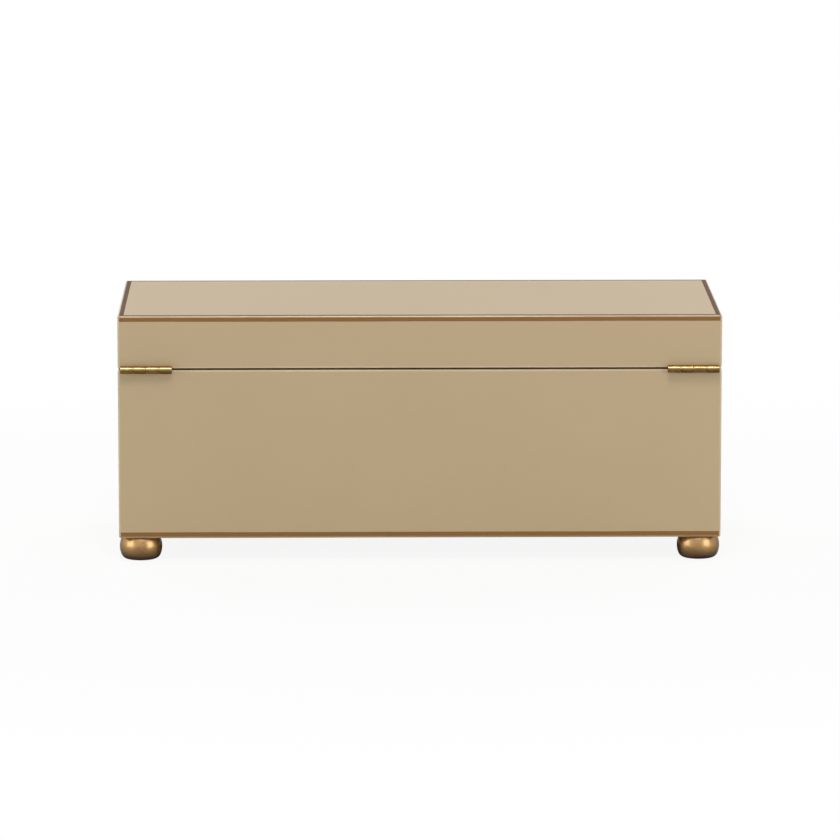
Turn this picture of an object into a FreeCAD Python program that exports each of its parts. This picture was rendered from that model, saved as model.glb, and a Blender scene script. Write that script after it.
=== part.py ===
"""Watercolour paint box: a lacquered case on four brass ball feet, with a hinged lid over a divided
well and one drawer under it.

The box is modelled at its real size in millimetres. +Z is up, the front faces -Y and the hinges are at
the back. The origin is on the floor, at the middle of the whole footprint, so half of the knobs' reach in
front and of the hinges' reach behind is on each side of it.

Every size that can be set by itself is a cell of the sheet Sizes. The set Places works out from them where
the pieces meet. Each piece is one object, labelled with the name of the STEP file that it is written to.
"""

import FreeCAD
import Part
import Sketcher
import math
import os

SIZES = [
    # The case and the lid are glued up as one box and sawn apart, so they share walls and corners.
    ("case_width", 305.0),
    ("case_depth", 127.0),
    ("case_height", 86.2),
    ("wall_thickness", 8.0),
    ("base_thickness", 7.0),
    ("shelf_thickness", 4.0),
    ("housing_depth", 3.0),
    ("edge_radius", 1.0),
    ("rim_radius", 0.6),
    ("lid_height", 26.75),
    ("lid_gap", 0.9),
    ("lid_panel_thickness", 6.0),
    ("lid_field_thickness", 2.0),
    ("bumper_diameter", 6.0),
    ("bumper_inset", 22.0),
    ("bumper_clearance", 0.05),
    # Dividers of the well
    ("divider_thickness", 3.0),
    ("divider_height", 29.0),
    ("divider_housing", 1.5),
    ("divider_fit", 0.1),
    ("brush_trough_depth", 32.0),
    # Drawer
    ("bay_height", 36.0),
    ("drawer_front_thickness", 9.0),
    ("drawer_side_thickness", 6.0),
    ("drawer_back_thickness", 6.0),
    ("drawer_bottom_thickness", 3.0),
    ("drawer_reveal", 0.6),
    ("drawer_running_gap", 0.3),
    ("drawer_head_gap", 3.0),
    ("drawer_bottom_inset", 4.0),
    ("drawer_back_inset", 3.0),
    ("drawer_groove_depth", 2.0),
    ("drawer_divider_height", 20.0),
    ("drawer_middle_width", 118.0),
    ("dovetail_cover", 3.0),
    ("dovetail_width", 9.0),
    ("dovetail_flare", 1.0),
    ("stop_block_length", 5.0),
    ("stop_block_width", 12.0),
    ("stop_block_height", 6.0),
    ("stop_block_clearance", 0.3),
    # Knobs
    ("knob_spacing", 152.0),
    ("knob_projection", 12.0),
    ("knob_ball_diameter", 11.0),
    ("knob_stem_diameter", 5.2),
    ("knob_flange_diameter", 8.0),
    ("knob_flange_thickness", 1.0),
    ("knob_screw_diameter", 3.0),
    ("knob_screw_grip", 6.0),
    ("knob_screw_head_diameter", 7.0),
    ("knob_screw_head_height", 2.0),
    # Feet
    ("foot_height", 12.0),
    ("foot_diameter", 21.6),
    ("foot_equator_height", 6.3),
    ("foot_base_radius", 3.4),
    ("stud_diameter", 4.0),
    ("stud_length_in_foot", 7.0),
    ("stud_length_in_base", 5.0),
    ("screw_fit", 0.05),
    # Hinges
    ("hinge_length", 26.0),
    ("hinge_margin", 1.4),
    ("barrel_diameter", 3.8),
    ("barrel_clearance", 0.15),
    ("leaf_width", 6.2),
    ("leaf_thickness", 0.9),
    ("knuckle_play", 0.24),
    ("pin_diameter", 1.6),
    ("pin_press_fit", 0.01),
    ("pin_running_fit", 0.05),
    ("lid_opening_angle", 105.0),
    ("stop_heel_overhang", 0.4),
    ("hinge_screw_diameter", 1.7),
    ("hinge_screw_head_diameter", 3.4),
    ("hinge_screw_length", 8.0),
    ("hinge_screw_spacing", 15.0),
]

# Counts decide how many pieces there are, so they aren't sizes.
CELL_COLUMNS = 6
CROSS_DIVIDERS = CELL_COLUMNS - 1
KNUCKLES = 4
TAILS = 2

PLACES = [
    # How far the hinges reach behind the back and the knobs in front of the front
    ("axis_offset", "Sizes.barrel_diameter / 2 + Sizes.barrel_clearance"),
    ("barrel_radius", "Sizes.barrel_diameter / 2"),
    ("heel_reach", "Places.barrel_radius + Sizes.stop_heel_overhang"),
    ("heel_half_angle", "acos(Places.barrel_radius / Places.heel_reach) / 1 deg"),
    ("heel_angle", "360 - Places.heel_half_angle - Sizes.lid_opening_angle"),
    ("heel_y", "-Places.heel_reach * cos(Places.heel_angle * 1 deg)"),
    ("heel_z", "Places.heel_reach * sin(Places.heel_angle * 1 deg)"),
    ("back_reach", "Places.axis_offset + max(Places.heel_y; Places.barrel_radius)"),
    # The case's outer and inner faces
    ("left_x", "-Sizes.case_width / 2"),
    ("right_x", "Sizes.case_width / 2"),
    ("front_y", "(Sizes.knob_projection - Places.back_reach - Sizes.case_depth) / 2"),
    ("back_y", "Places.front_y + Sizes.case_depth"),
    ("inner_left_x", "Places.left_x + Sizes.wall_thickness"),
    ("inner_right_x", "Places.right_x - Sizes.wall_thickness"),
    ("inner_front_y", "Places.front_y + Sizes.wall_thickness"),
    ("inner_back_y", "Places.back_y - Sizes.wall_thickness"),
    ("tongue", "Sizes.wall_thickness / 2"),
    # Levels
    ("base_z", "Sizes.foot_height"),
    ("bay_floor_z", "Places.base_z + Sizes.base_thickness"),
    ("bay_ceiling_z", "Places.bay_floor_z + Sizes.bay_height"),
    ("well_floor_z", "Places.bay_ceiling_z + Sizes.shelf_thickness"),
    ("divider_top_z", "Places.well_floor_z + Sizes.divider_height"),
    ("rim_z", "Places.base_z + Sizes.case_height"),
    ("lid_rim_z", "Places.rim_z + Sizes.lid_gap"),
    ("lid_top_z", "Places.lid_rim_z + Sizes.lid_height"),
    ("lid_panel_z", "Places.lid_top_z - Sizes.lid_panel_thickness"),
    # Dividers of the well: the trough divider, then the row divider halfway to the front
    ("trough_divider_y", "Places.inner_back_y - Sizes.brush_trough_depth - Sizes.divider_thickness"),
    ("row_divider_y", "(Places.inner_front_y + Places.trough_divider_y - Sizes.divider_thickness) / 2"),
    ("well_width", "Places.inner_right_x - Places.inner_left_x"),
    ("cell_pitch", f"(Places.well_width + Sizes.divider_thickness) / {CELL_COLUMNS}"),
    ("cross_run", f"Places.cell_pitch * {CROSS_DIVIDERS - 1}"),
    ("first_cross_x", "Places.inner_left_x + Places.cell_pitch - Sizes.divider_thickness"),
    # Drawer
    ("drawer_left_x", "Places.inner_left_x + Sizes.drawer_reveal"),
    ("drawer_right_x", "Places.inner_right_x - Sizes.drawer_reveal"),
    ("drawer_inner_left_x", "Places.drawer_left_x + Sizes.drawer_side_thickness"),
    ("drawer_inner_right_x", "Places.drawer_right_x - Sizes.drawer_side_thickness"),
    ("drawer_floor_z", "Places.bay_floor_z + Sizes.drawer_running_gap"),
    ("drawer_top_z", "Places.bay_ceiling_z - Sizes.drawer_head_gap"),
    ("drawer_front_low_z", "Places.bay_floor_z + Sizes.drawer_reveal"),
    ("drawer_front_high_z", "Places.bay_ceiling_z - Sizes.drawer_reveal"),
    ("drawer_front_inner_y", "Places.front_y + Sizes.drawer_front_thickness"),
    ("tail_tip_y", "Places.front_y + Sizes.dovetail_cover"),
    ("stop_block_y", "Places.inner_back_y - Sizes.stop_block_length"),
    ("drawer_end_y", "Places.stop_block_y - Sizes.stop_block_clearance"),
    ("drawer_back_outer_y", "Places.drawer_end_y - Sizes.drawer_back_inset"),
    ("drawer_back_inner_y", "Places.drawer_back_outer_y - Sizes.drawer_back_thickness"),
    ("drawer_bottom_z", "Places.drawer_floor_z + Sizes.drawer_bottom_inset"),
    ("drawer_inside_z", "Places.drawer_bottom_z + Sizes.drawer_bottom_thickness"),
    ("tail_pitch", f"(Places.drawer_top_z - Places.drawer_floor_z) / {TAILS}"),
    ("tail_length", "Places.drawer_front_inner_y - Places.tail_tip_y"),
    ("knob_z", "(Places.drawer_front_low_z + Places.drawer_front_high_z) / 2"),
    ("knob_ball_z", "Sizes.knob_projection - Sizes.knob_ball_diameter / 2"),
    # Feet stand flush with the outer faces
    ("foot_radius", "Sizes.foot_diameter / 2"),
    ("foot_left_x", "Places.left_x + Places.foot_radius"),
    ("foot_right_x", "Places.right_x - Places.foot_radius"),
    ("foot_front_y", "Places.front_y + Places.foot_radius"),
    ("foot_back_y", "Places.back_y - Places.foot_radius"),
    # Hinges
    ("pivot_y", "Places.back_y + Places.axis_offset"),
    ("pivot_z", "Places.rim_z + Sizes.lid_gap / 2"),
    ("left_hinge_x", "Places.left_x + Sizes.hinge_margin"),
    ("right_hinge_x", "Places.right_x - Sizes.hinge_margin - Sizes.hinge_length"),
    ("hinge_spacing", "Places.right_hinge_x - Places.left_hinge_x"),
    ("leaf_y", "Places.back_y - Sizes.leaf_width"),
    ("knuckle_length", f"Sizes.hinge_length / {KNUCKLES}"),
    ("hinge_screw_inset", "(Sizes.hinge_length - Sizes.hinge_screw_spacing) / 2"),
    ("hinge_screw_y", "Places.back_y - Sizes.leaf_width / 2"),
]

PLANES = {"x": "YZ_Plane", "y": "XZ_Plane", "z": "XY_Plane"}
AXES = {"x": "X_Axis", "y": "Y_Axis", "z": "Z_Axis"}

doc = FreeCAD.newDocument("watercolour_box")
sizes = doc.addObject("Spreadsheet::Sheet", "Sizes")
for row, (alias, number) in enumerate(SIZES, start=1):
    sizes.set(f"A{row}", alias)
    sizes.set(f"B{row}", str(number))
    sizes.setAlias(f"B{row}", alias)
doc.recompute()
places = doc.addObject("App::VarSet", "Places")
for name, formula in PLACES:
    places.addProperty("App::PropertyFloat", name, "Places")
    places.setExpression(name, formula)
    doc.recompute()

corner_of = {}  # the row-frame place of each body's own origin, as three expressions


def value(expression):
    """The number that an expression of sizes and places comes to."""
    return float(places.evalExpression(str(expression)))


def new_body(label, x, y, z, turn=None):
    """An empty body whose own origin is at a place of the row frame, turned by (axis, degrees) if given."""
    body = doc.addObject("PartDesign::Body", label)
    body.Label = label
    if turn:
        rotation = FreeCAD.Rotation(FreeCAD.Vector(*turn[0]), turn[1])
        body.Placement = FreeCAD.Placement(FreeCAD.Vector(), rotation)
    for axis, place in zip("xyz", (x, y, z)):
        body.setExpression(f"Placement.Base.{axis}", place)
    corner_of[body.Name] = (x, y, z)
    return body


def origin_feature(body, role):
    """One of a body's own origin planes or axes."""
    return next(feature for feature in body.Origin.OriginFeatures if feature.Role == role)


def new_sketch(body, name, along, offset):
    """A sketch across an axis of the body, at an offset along that axis."""
    sketch = body.newObject("Sketcher::SketchObject", f"{body.Label}_{name}")
    sketch.AttachmentSupport = [(origin_feature(body, PLANES[along]), "")]
    sketch.MapMode = "FlatFace"
    # The XZ plane's normal points along -Y.
    sketch.setExpression("AttachmentOffset.Base.z", f"-({offset})" if along == "y" else offset)
    return sketch


def add_loop(sketch, points):
    """A closed outline of straight lines, each corner held at two expressions from the sketch's origin."""
    first = sketch.GeometryCount
    spots = [FreeCAD.Vector(value(u), value(v), 0) for u, v in points]
    for start, end in zip(spots, spots[1:] + spots[:1]):
        sketch.addGeometry(Part.LineSegment(start, end))
    count = len(points)
    for i in range(count):
        sketch.addConstraint(Sketcher.Constraint("Coincident", first + i, 2, first + (i + 1) % count, 1))
    for i, (u, v) in enumerate(points):
        hold_point(sketch, first + i, 1, u, v)


def hold_point(sketch, geometry, end, u, v):
    """Holds one end of a sketch's line or arc at two expressions from the sketch's origin."""
    for kind, expression in (("DistanceX", u), ("DistanceY", v)):
        index = sketch.addConstraint(Sketcher.Constraint(kind, -1, 1, geometry, end, value(expression)))
        sketch.setExpression(f"Constraints[{index}]", expression)


def add_circle(sketch, u, v, radius):
    """A circle whose centre and radius are expressions."""
    centre = FreeCAD.Vector(value(u), value(v), 0)
    circle = sketch.addGeometry(Part.Circle(centre, FreeCAD.Vector(0, 0, 1), value(radius)))
    hold_point(sketch, circle, 3, u, v)
    hold_radius(sketch, circle, radius)


def hold_radius(sketch, geometry, radius):
    """Holds a circle's or an arc's radius at an expression."""
    index = sketch.addConstraint(Sketcher.Constraint("Radius", geometry, value(radius)))
    sketch.setExpression(f"Constraints[{index}]", radius)


def pad(body, name, along, low, high, loops=(), circles=()):
    """Adds outlines to a body between two places along one of its axes."""
    sketch = new_sketch(body, f"{name}_sketch", along, high if along == "y" else low)
    draw(sketch, loops, circles)
    feature = body.newObject("PartDesign::Pad", f"{body.Label}_{name}")
    feature.Profile = sketch
    feature.setExpression("Length", f"({high}) - ({low})")
    return feature


def pocket(body, name, along, low, high, loops=(), circles=()):
    """Cuts outlines out of a body between two places along one of its axes, and checks that it cut."""
    doc.recompute()
    before = body.Shape.Volume
    sketch = new_sketch(body, f"{name}_sketch", along, low if along == "y" else high)
    draw(sketch, loops, circles)
    feature = body.newObject("PartDesign::Pocket", f"{body.Label}_{name}")
    feature.Profile = sketch
    feature.setExpression("Length", f"({high}) - ({low})")
    doc.recompute()
    if body.Shape.Volume >= before:
        raise RuntimeError(f"{feature.Label} cuts nothing")
    return feature


def draw(sketch, loops, circles):
    """Draws straight-sided outlines and circles in a sketch."""
    for points in loops:
        add_loop(sketch, points)
    for u, v, radius in circles:
        add_circle(sketch, u, v, radius)


def oblong(low, high):
    """The four corners of a rectangle between two opposite ones."""
    return [(low[0], low[1]), (high[0], low[1]), (high[0], high[1]), (low[0], high[1])]


def board(label, x, y, z):
    """A rectangular board between two places of the row frame along each axis."""
    body = new_body(label, x[0], y[0], z[0])
    size = [f"({high}) - ({low})" for low, high in (x, y, z)]
    pad(body, "blank", "z", "0", size[2], [oblong(("0", "0"), (size[0], size[1]))])
    return body


def trench(body, name, x, y, z, along="z"):
    """Cuts a box out of a board: x, y and z are pairs of places of the row frame."""
    low, high = [
        [f"({pair[side]}) - ({corner})" for pair, corner in zip((x, y, z), corner_of[body.Name])]
        for side in (0, 1)
    ]
    k = "xyz".index(along)
    across = [i for i in range(3) if i != k]
    outline = oblong([low[i] for i in across], [high[i] for i in across])
    return pocket(body, name, along, low[k], high[k], [outline])


def repeat(body, name, feature, along, length, count):
    """Repeats a body's last feature in a row that is length long from the first copy to the last."""
    doc.recompute()
    pattern = body.newObject("PartDesign::LinearPattern", f"{body.Label}_{name}")
    pattern.Originals = [feature]
    pattern.Direction = (origin_feature(body, AXES[along]), [""])
    pattern.setExpression("Length", length)
    pattern.Occurrences = count
    body.Tip = pattern
    doc.recompute()
    return pattern


def turn(body, name, sketch):
    """Turns a sketch's profile a full turn about the sketch's upright axis."""
    feature = body.newObject("PartDesign::Revolution", f"{body.Label}_{name}")
    feature.Profile = sketch
    feature.ReferenceAxis = (sketch, ["V_Axis"])
    feature.Angle = 360
    doc.recompute()
    return feature


def round_edges(body, name, radius, wanted):
    """Rounds the body's edges that the test picks by their boxes, given the body's own box."""
    doc.recompute()
    base = body.Tip
    whole = base.Shape.BoundBox
    picked = [f"Edge{i}" for i, edge in enumerate(base.Shape.Edges, start=1) if wanted(edge.BoundBox, whole)]
    if not picked:
        raise RuntimeError(f"{body.Label} has no edge for {name}")
    feature = body.newObject("PartDesign::Fillet", f"{body.Label}_{name}")
    feature.Base = (base, picked)
    feature.setExpression("Radius", radius)
    doc.recompute()


def lies_on(box, whole, *sides):
    """True if an edge's box is flat against each named side of the body, such as "x-" or "z+"."""
    ends = {
        "x-": (box.XMax, whole.XMin), "x+": (box.XMin, whole.XMax),
        "y-": (box.YMax, whole.YMin), "y+": (box.YMin, whole.YMax),
        "z-": (box.ZMax, whole.ZMin), "z+": (box.ZMin, whole.ZMax),
    }
    return all(abs(ends[side][0] - ends[side][1]) < 1e-4 for side in sides)


def round_outer_edges(body, name, radius, *pairs):
    """Rounds the edges where the named pairs of a body's outer sides meet."""
    round_edges(body, name, radius, lambda box, whole: any(lies_on(box, whole, *pair) for pair in pairs))


# ---------------------------------------------------------------------------------------------------
# Case and lid: boards joined by tongues in grooves, with the lid's boards following the case's
# ---------------------------------------------------------------------------------------------------

HOUSED_LEFT = "Places.inner_left_x - Sizes.housing_depth"
HOUSED_RIGHT = "Places.inner_right_x + Sizes.housing_depth"
HOUSED_BACK = "Places.inner_back_y + Sizes.housing_depth"
HOUSED_FRONT = "Places.inner_front_y - Sizes.housing_depth"
DIVIDER_LEVELS = ("Places.well_floor_z", "Places.divider_top_z")
SHELF_LEVELS = ("Places.bay_ceiling_z", "Places.well_floor_z")
BASE_LEVELS = ("Places.base_z", "Places.bay_floor_z")
CASE_LEAF_LEVELS = ("Places.rim_z - Sizes.leaf_thickness", "Places.rim_z")
LID_LEAF_LEVELS = ("Places.lid_rim_z", "Places.lid_rim_z + Sizes.leaf_thickness")


def back_board(label, z):
    """A board across the whole back, with a groove at each end for the sides' tongues."""
    body = board(label, ("Places.left_x", "Places.right_x"), ("Places.inner_back_y", "Places.back_y"), z)
    groove_y = ("Places.inner_back_y", HOUSED_BACK)
    trench(body, "left_groove", ("Places.left_x + Places.tongue", "Places.inner_left_x"), groove_y, z)
    trench(body, "right_groove", ("Places.inner_right_x", "Places.right_x - Places.tongue"), groove_y, z)
    return body


def side_board(label, side, z):
    """A side from the front face to a tongue in the back board, grooved inside for the front board."""
    if side == "left":
        x = ("Places.left_x", "Places.inner_left_x")
        outer = ("Places.left_x", "Places.left_x + Places.tongue")
    else:
        x = ("Places.inner_right_x", "Places.right_x")
        outer = ("Places.right_x - Places.tongue", "Places.right_x")
    body = board(label, x, ("Places.front_y", HOUSED_BACK), z)
    trench(body, "tongue", outer, ("Places.inner_back_y", HOUSED_BACK), z)
    return body


def housed_x(side):
    """The groove's reach along X inside a side board."""
    return (HOUSED_LEFT, "Places.inner_left_x") if side == "left" else ("Places.inner_right_x", HOUSED_RIGHT)


def front_groove(body, side, z):
    """The upright groove in a side board that takes the front board's tongue."""
    y = ("Places.front_y + Places.tongue", "Places.inner_front_y")
    trench(body, "front_groove", housed_x(side), y, z)


def front_board(label, z):
    """The board between the sides, with a tongue at each end on its inner half."""
    body = board(label, (HOUSED_LEFT, HOUSED_RIGHT), ("Places.front_y", "Places.inner_front_y"), z)
    outer_y = ("Places.front_y", "Places.front_y + Places.tongue")
    trench(body, "left_tongue", (HOUSED_LEFT, "Places.inner_left_x"), outer_y, z)
    trench(body, "right_tongue", ("Places.inner_right_x", HOUSED_RIGHT), outer_y, z)
    return body


def round_board_arrises(body, side, outer_end):
    """Rounds a wall's outer corner, and the arris on the end that the world sees."""
    corners = {"left": [("x-", "y-")], "right": [("x+", "y-")], "back": [("x-", "y+"), ("x+", "y+")]}
    faces = {"left": ("x-", "y-"), "right": ("x+", "y-"), "back": ("x-", "x+", "y+")}
    pairs = list(corners[side])
    if outer_end:
        pairs += [(face, outer_end) for face in faces[side]]
    round_outer_edges(body, "arris", "Sizes.edge_radius", *pairs)


def ease_rim(body, rim_end, *faces):
    """Takes the sharpness off a rim's long outer edges, which follow the rounded corners."""
    def wanted(box, whole):
        return lies_on(box, whole, rim_end) and any(lies_on(box, whole, face) for face in faces)
    round_edges(body, "rim", "Sizes.rim_radius", wanted)


def mortise_hinges(body, z):
    """Lets both hinge leaves into a board's rim."""
    x = ("Places.left_hinge_x", "Places.left_hinge_x + Sizes.hinge_length")
    cut = trench(body, "hinge_mortise", x, ("Places.leaf_y", "Places.back_y"), z)
    repeat(body, "hinge_mortises", cut, "x", "Places.hinge_spacing", 2)


def mortise_tongue(body, side, z):
    """Cuts a side's tongue back where the hinge leaf crosses it."""
    x = ("Places.left_x + Places.tongue", "Places.inner_left_x")
    if side == "right":
        x = ("Places.inner_right_x", "Places.right_x - Places.tongue")
    trench(body, "hinge_mortise", x, ("Places.leaf_y", HOUSED_BACK), z)


def bore_for_hinge_screws(body, z):
    """Bores the pilot holes under both leaves, between two places along Z."""
    corner = corner_of[body.Name]
    first_x = f"Places.left_hinge_x + Places.hinge_screw_inset - ({corner[0]})"
    circles = [
        (f"{first_x} + {i} * Sizes.hinge_screw_spacing", f"Places.hinge_screw_y - ({corner[1]})",
         "Sizes.hinge_screw_diameter / 2 + Sizes.pin_press_fit")
        for i in (0, 1)
    ]
    low, high = (f"({place}) - ({corner[2]})" for place in z)
    holes = pocket(body, "pilot_holes", "z", low, high, circles=circles)
    repeat(body, "pilot_hole_pairs", holes, "x", "Places.hinge_spacing", 2)


def make_case_back():
    body = back_board("case_back", ("Places.base_z", "Places.rim_z"))
    round_board_arrises(body, "back", "z-")
    ease_rim(body, "z+", "y+", "x-", "x+")
    y = ("Places.inner_back_y", HOUSED_BACK)
    trench(body, "shelf_groove", (HOUSED_LEFT, HOUSED_RIGHT), y, SHELF_LEVELS)
    trench(body, "base_rebate", (HOUSED_LEFT, HOUSED_RIGHT), y, BASE_LEVELS)
    mortise_hinges(body, CASE_LEAF_LEVELS)
    screw_tip_z = "Places.rim_z - Sizes.hinge_screw_length"
    bore_for_hinge_screws(body, (screw_tip_z, CASE_LEAF_LEVELS[0]))


def make_case_side(side):
    body = side_board(f"case_{side}_side", side, ("Places.base_z", "Places.rim_z"))
    round_board_arrises(body, side, "z-")
    ease_rim(body, "z+", "x-" if side == "left" else "x+", "y-")
    mortise_tongue(body, side, CASE_LEAF_LEVELS)
    front_groove(body, side, ("Places.bay_ceiling_z", "Places.rim_z"))
    x = housed_x(side)
    trench(body, "shelf_groove", x, (HOUSED_FRONT, HOUSED_BACK), SHELF_LEVELS)
    trench(body, "base_rebate", x, ("Places.front_y", HOUSED_BACK), BASE_LEVELS)
    if side == "left":
        x = ("Places.inner_left_x - Sizes.divider_housing", "Places.inner_left_x")
    else:
        x = ("Places.inner_right_x", "Places.inner_right_x + Sizes.divider_housing")
    for name in ("trough", "row"):
        y = (f"Places.{name}_divider_y", f"Places.{name}_divider_y + Sizes.divider_thickness")
        trench(body, f"{name}_divider_housing", x, y, DIVIDER_LEVELS)


def make_case_front():
    body = front_board("case_front", ("Places.bay_ceiling_z", "Places.rim_z"))
    ease_rim(body, "z+", "y-")
    rebate_y = (HOUSED_FRONT, "Places.inner_front_y")
    trench(body, "shelf_rebate", (HOUSED_LEFT, HOUSED_RIGHT), rebate_y, SHELF_LEVELS)
    x = ("Places.first_cross_x", "Places.first_cross_x + Sizes.divider_thickness")
    y = ("Places.inner_front_y - Sizes.divider_housing", "Places.inner_front_y")
    cut = trench(body, "cross_divider_housing", x, y, DIVIDER_LEVELS)
    repeat(body, "cross_divider_housings", cut, "x", "Places.cross_run", CROSS_DIVIDERS)


def make_case_base():
    body = board("case_base", (HOUSED_LEFT, HOUSED_RIGHT), ("Places.front_y", HOUSED_BACK), BASE_LEVELS)
    round_outer_edges(body, "arris", "Sizes.edge_radius", ("y-", "z-"))
    circles = [
        (f"Places.foot_{side}_x - ({HOUSED_LEFT})", f"Places.foot_{end}_y - Places.front_y",
         "Sizes.stud_diameter / 2 + Sizes.screw_fit")
        for side in ("left", "right")
        for end in ("front", "back")
    ]
    pocket(body, "stud_holes", "z", "0", "Sizes.stud_length_in_base", circles=circles)


def make_well_floor():
    board("well_floor", (HOUSED_LEFT, HOUSED_RIGHT), (HOUSED_FRONT, HOUSED_BACK), SHELF_LEVELS)


def make_lid_boards():
    z = ("Places.lid_rim_z", "Places.lid_panel_z")
    body = back_board("lid_back", z)
    round_board_arrises(body, "back", None)
    ease_rim(body, "z-", "y+", "x-", "x+")
    mortise_hinges(body, LID_LEAF_LEVELS)
    screw_tip_z = "Places.lid_rim_z + Sizes.hinge_screw_length"
    bore_for_hinge_screws(body, (LID_LEAF_LEVELS[1], screw_tip_z))
    for side in ("left", "right"):
        body = side_board(f"lid_{side}_side", side, z)
        round_board_arrises(body, side, None)
        ease_rim(body, "z-", "x-" if side == "left" else "x+", "y-")
        mortise_tongue(body, side, LID_LEAF_LEVELS)
        front_groove(body, side, z)
    body = front_board("lid_front", z)
    ease_rim(body, "z-", "y-")


def make_lid_panel():
    """The lid's top, with a raised field underneath that drops between the boards and locates it."""
    x = ("Places.left_x", "Places.right_x")
    y = ("Places.front_y", "Places.back_y")
    body = board("lid_panel", x, y, ("Places.lid_panel_z", "Places.lid_top_z"))
    corners = [(a, b) for a in ("x-", "x+") for b in ("y-", "y+")]
    top = [(face, "z+") for face in ("x-", "x+", "y-", "y+")]
    round_outer_edges(body, "arris", "Sizes.edge_radius", *corners, *top)
    wall = "Sizes.wall_thickness"
    field = oblong((wall, wall), (f"Sizes.case_width - {wall}", f"Sizes.case_depth - {wall}"))
    pad(body, "field", "z", "-Sizes.lid_field_thickness", "0", [field])


def make_lid_bumpers():
    """Two felt dots on the front rim, which the lid comes down on."""
    y = "(Places.front_y + Places.inner_front_y) / 2"
    body = new_body("lid_bumpers", "Places.left_x + Sizes.bumper_inset", y, "Places.rim_z")
    circle = ("0", "0", "Sizes.bumper_diameter / 2")
    dot = pad(body, "dot", "z", "0", "Sizes.lid_gap - Sizes.bumper_clearance", circles=[circle])
    repeat(body, "dots", dot, "x", "Sizes.case_width - 2 * Sizes.bumper_inset", 2)


# ---------------------------------------------------------------------------------------------------
# Dividers of the well: two long ones housed in the sides, and cross ones halved over the row divider
# ---------------------------------------------------------------------------------------------------

CROSS_SLOT_X = ("Places.first_cross_x - Sizes.divider_fit / 2",
                "Places.first_cross_x + Sizes.divider_thickness + Sizes.divider_fit / 2")


def make_long_divider(name):
    """A divider across the whole well, housed in both sides."""
    x = ("Places.inner_left_x - Sizes.divider_housing", "Places.inner_right_x + Sizes.divider_housing")
    y = (f"Places.{name}_divider_y", f"Places.{name}_divider_y + Sizes.divider_thickness")
    return board(f"{name}_divider", x, y, DIVIDER_LEVELS), y


def make_dividers():
    halfway = "Places.well_floor_z + Sizes.divider_height / 2"

    trough, y = make_long_divider("trough")
    housing_x = ("Places.first_cross_x", "Places.first_cross_x + Sizes.divider_thickness")
    housing_y = (y[0], f"{y[0]} + Sizes.divider_housing")
    cut = trench(trough, "housing", housing_x, housing_y, DIVIDER_LEVELS)
    repeat(trough, "housings", cut, "x", "Places.cross_run", CROSS_DIVIDERS)

    row, y = make_long_divider("row")
    cut = trench(row, "slot", CROSS_SLOT_X, y, (halfway, DIVIDER_LEVELS[1]))
    repeat(row, "slots", cut, "x", "Places.cross_run", CROSS_DIVIDERS)

    slot_y = (f"{y[0]} - Sizes.divider_fit / 2", f"{y[1]} + Sizes.divider_fit / 2")
    cross_front_y = "Places.inner_front_y - Sizes.divider_housing"
    cross_back_y = "Places.trough_divider_y + Sizes.divider_housing"
    for i in range(CROSS_DIVIDERS):
        x0 = f"Places.first_cross_x + {i} * Places.cell_pitch"
        x = (x0, f"{x0} + Sizes.divider_thickness")
        cross = board(f"cross_divider_{i + 1}", x, (cross_front_y, cross_back_y), DIVIDER_LEVELS)
        trench(cross, "slot", x, slot_y, (DIVIDER_LEVELS[0], halfway), along="x")


# ---------------------------------------------------------------------------------------------------
# Drawer: half-blind dovetails at the front, housed back, bottom in grooves
# ---------------------------------------------------------------------------------------------------

BACK_Y = ("Places.drawer_back_inner_y", "Places.drawer_back_outer_y")
BOTTOM_LEVELS = ("Places.drawer_bottom_z", "Places.drawer_inside_z")
DRAWER_DIVIDER_LEVELS = ("Places.drawer_inside_z", "Places.drawer_inside_z + Sizes.drawer_divider_height")


def tail_edges(index):
    """One tail's lower and upper edge above the drawer sides' lower edge: at its root, then at its tip."""
    centre = f"Places.tail_pitch * {index + 0.5}"
    low, high = (f"{centre} {sign} Sizes.dovetail_width / 2" for sign in "-+")
    return (low, high), (f"{low} - Sizes.dovetail_flare", f"{high} + Sizes.dovetail_flare")


def tail_waste():
    """What is sawn away around the tails on a side's front end: outlines across X, from the tails' tips."""
    length = "Places.tail_length"
    height = "Places.drawer_top_z - Places.drawer_floor_z"
    edges = [("0", "0")]
    for i in range(TAILS):
        root, tip = tail_edges(i)
        edges += zip(root, tip)
    edges.append((height, height))
    loops = []
    for (low_root, low_tip), (high_root, high_tip) in zip(edges[::2], edges[1::2]):
        loops.append([("0", low_tip), (length, low_root), (length, high_root), ("0", high_tip)])
    return loops


def tail_sockets():
    """The tails' outlines across X, from the drawer front's lower front edge."""
    lift = "Places.drawer_floor_z - Places.drawer_front_low_z"
    near, far = "Sizes.dovetail_cover", "Sizes.drawer_front_thickness"
    loops = []
    for i in range(TAILS):
        (root_low, root_high), (tip_low, tip_high) = tail_edges(i)
        loops.append([(near, f"{tip_low} + {lift}"), (far, f"{root_low} + {lift}"),
                      (far, f"{root_high} + {lift}"), (near, f"{tip_high} + {lift}")])
    return loops


def drawer_divider_x(side):
    """The two drawer dividers stand each side of the middle compartment."""
    half = "Sizes.drawer_middle_width / 2"
    if side == "left":
        return (f"-{half} - Sizes.divider_thickness", f"-{half}")
    return (half, f"{half} + Sizes.divider_thickness")


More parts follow.
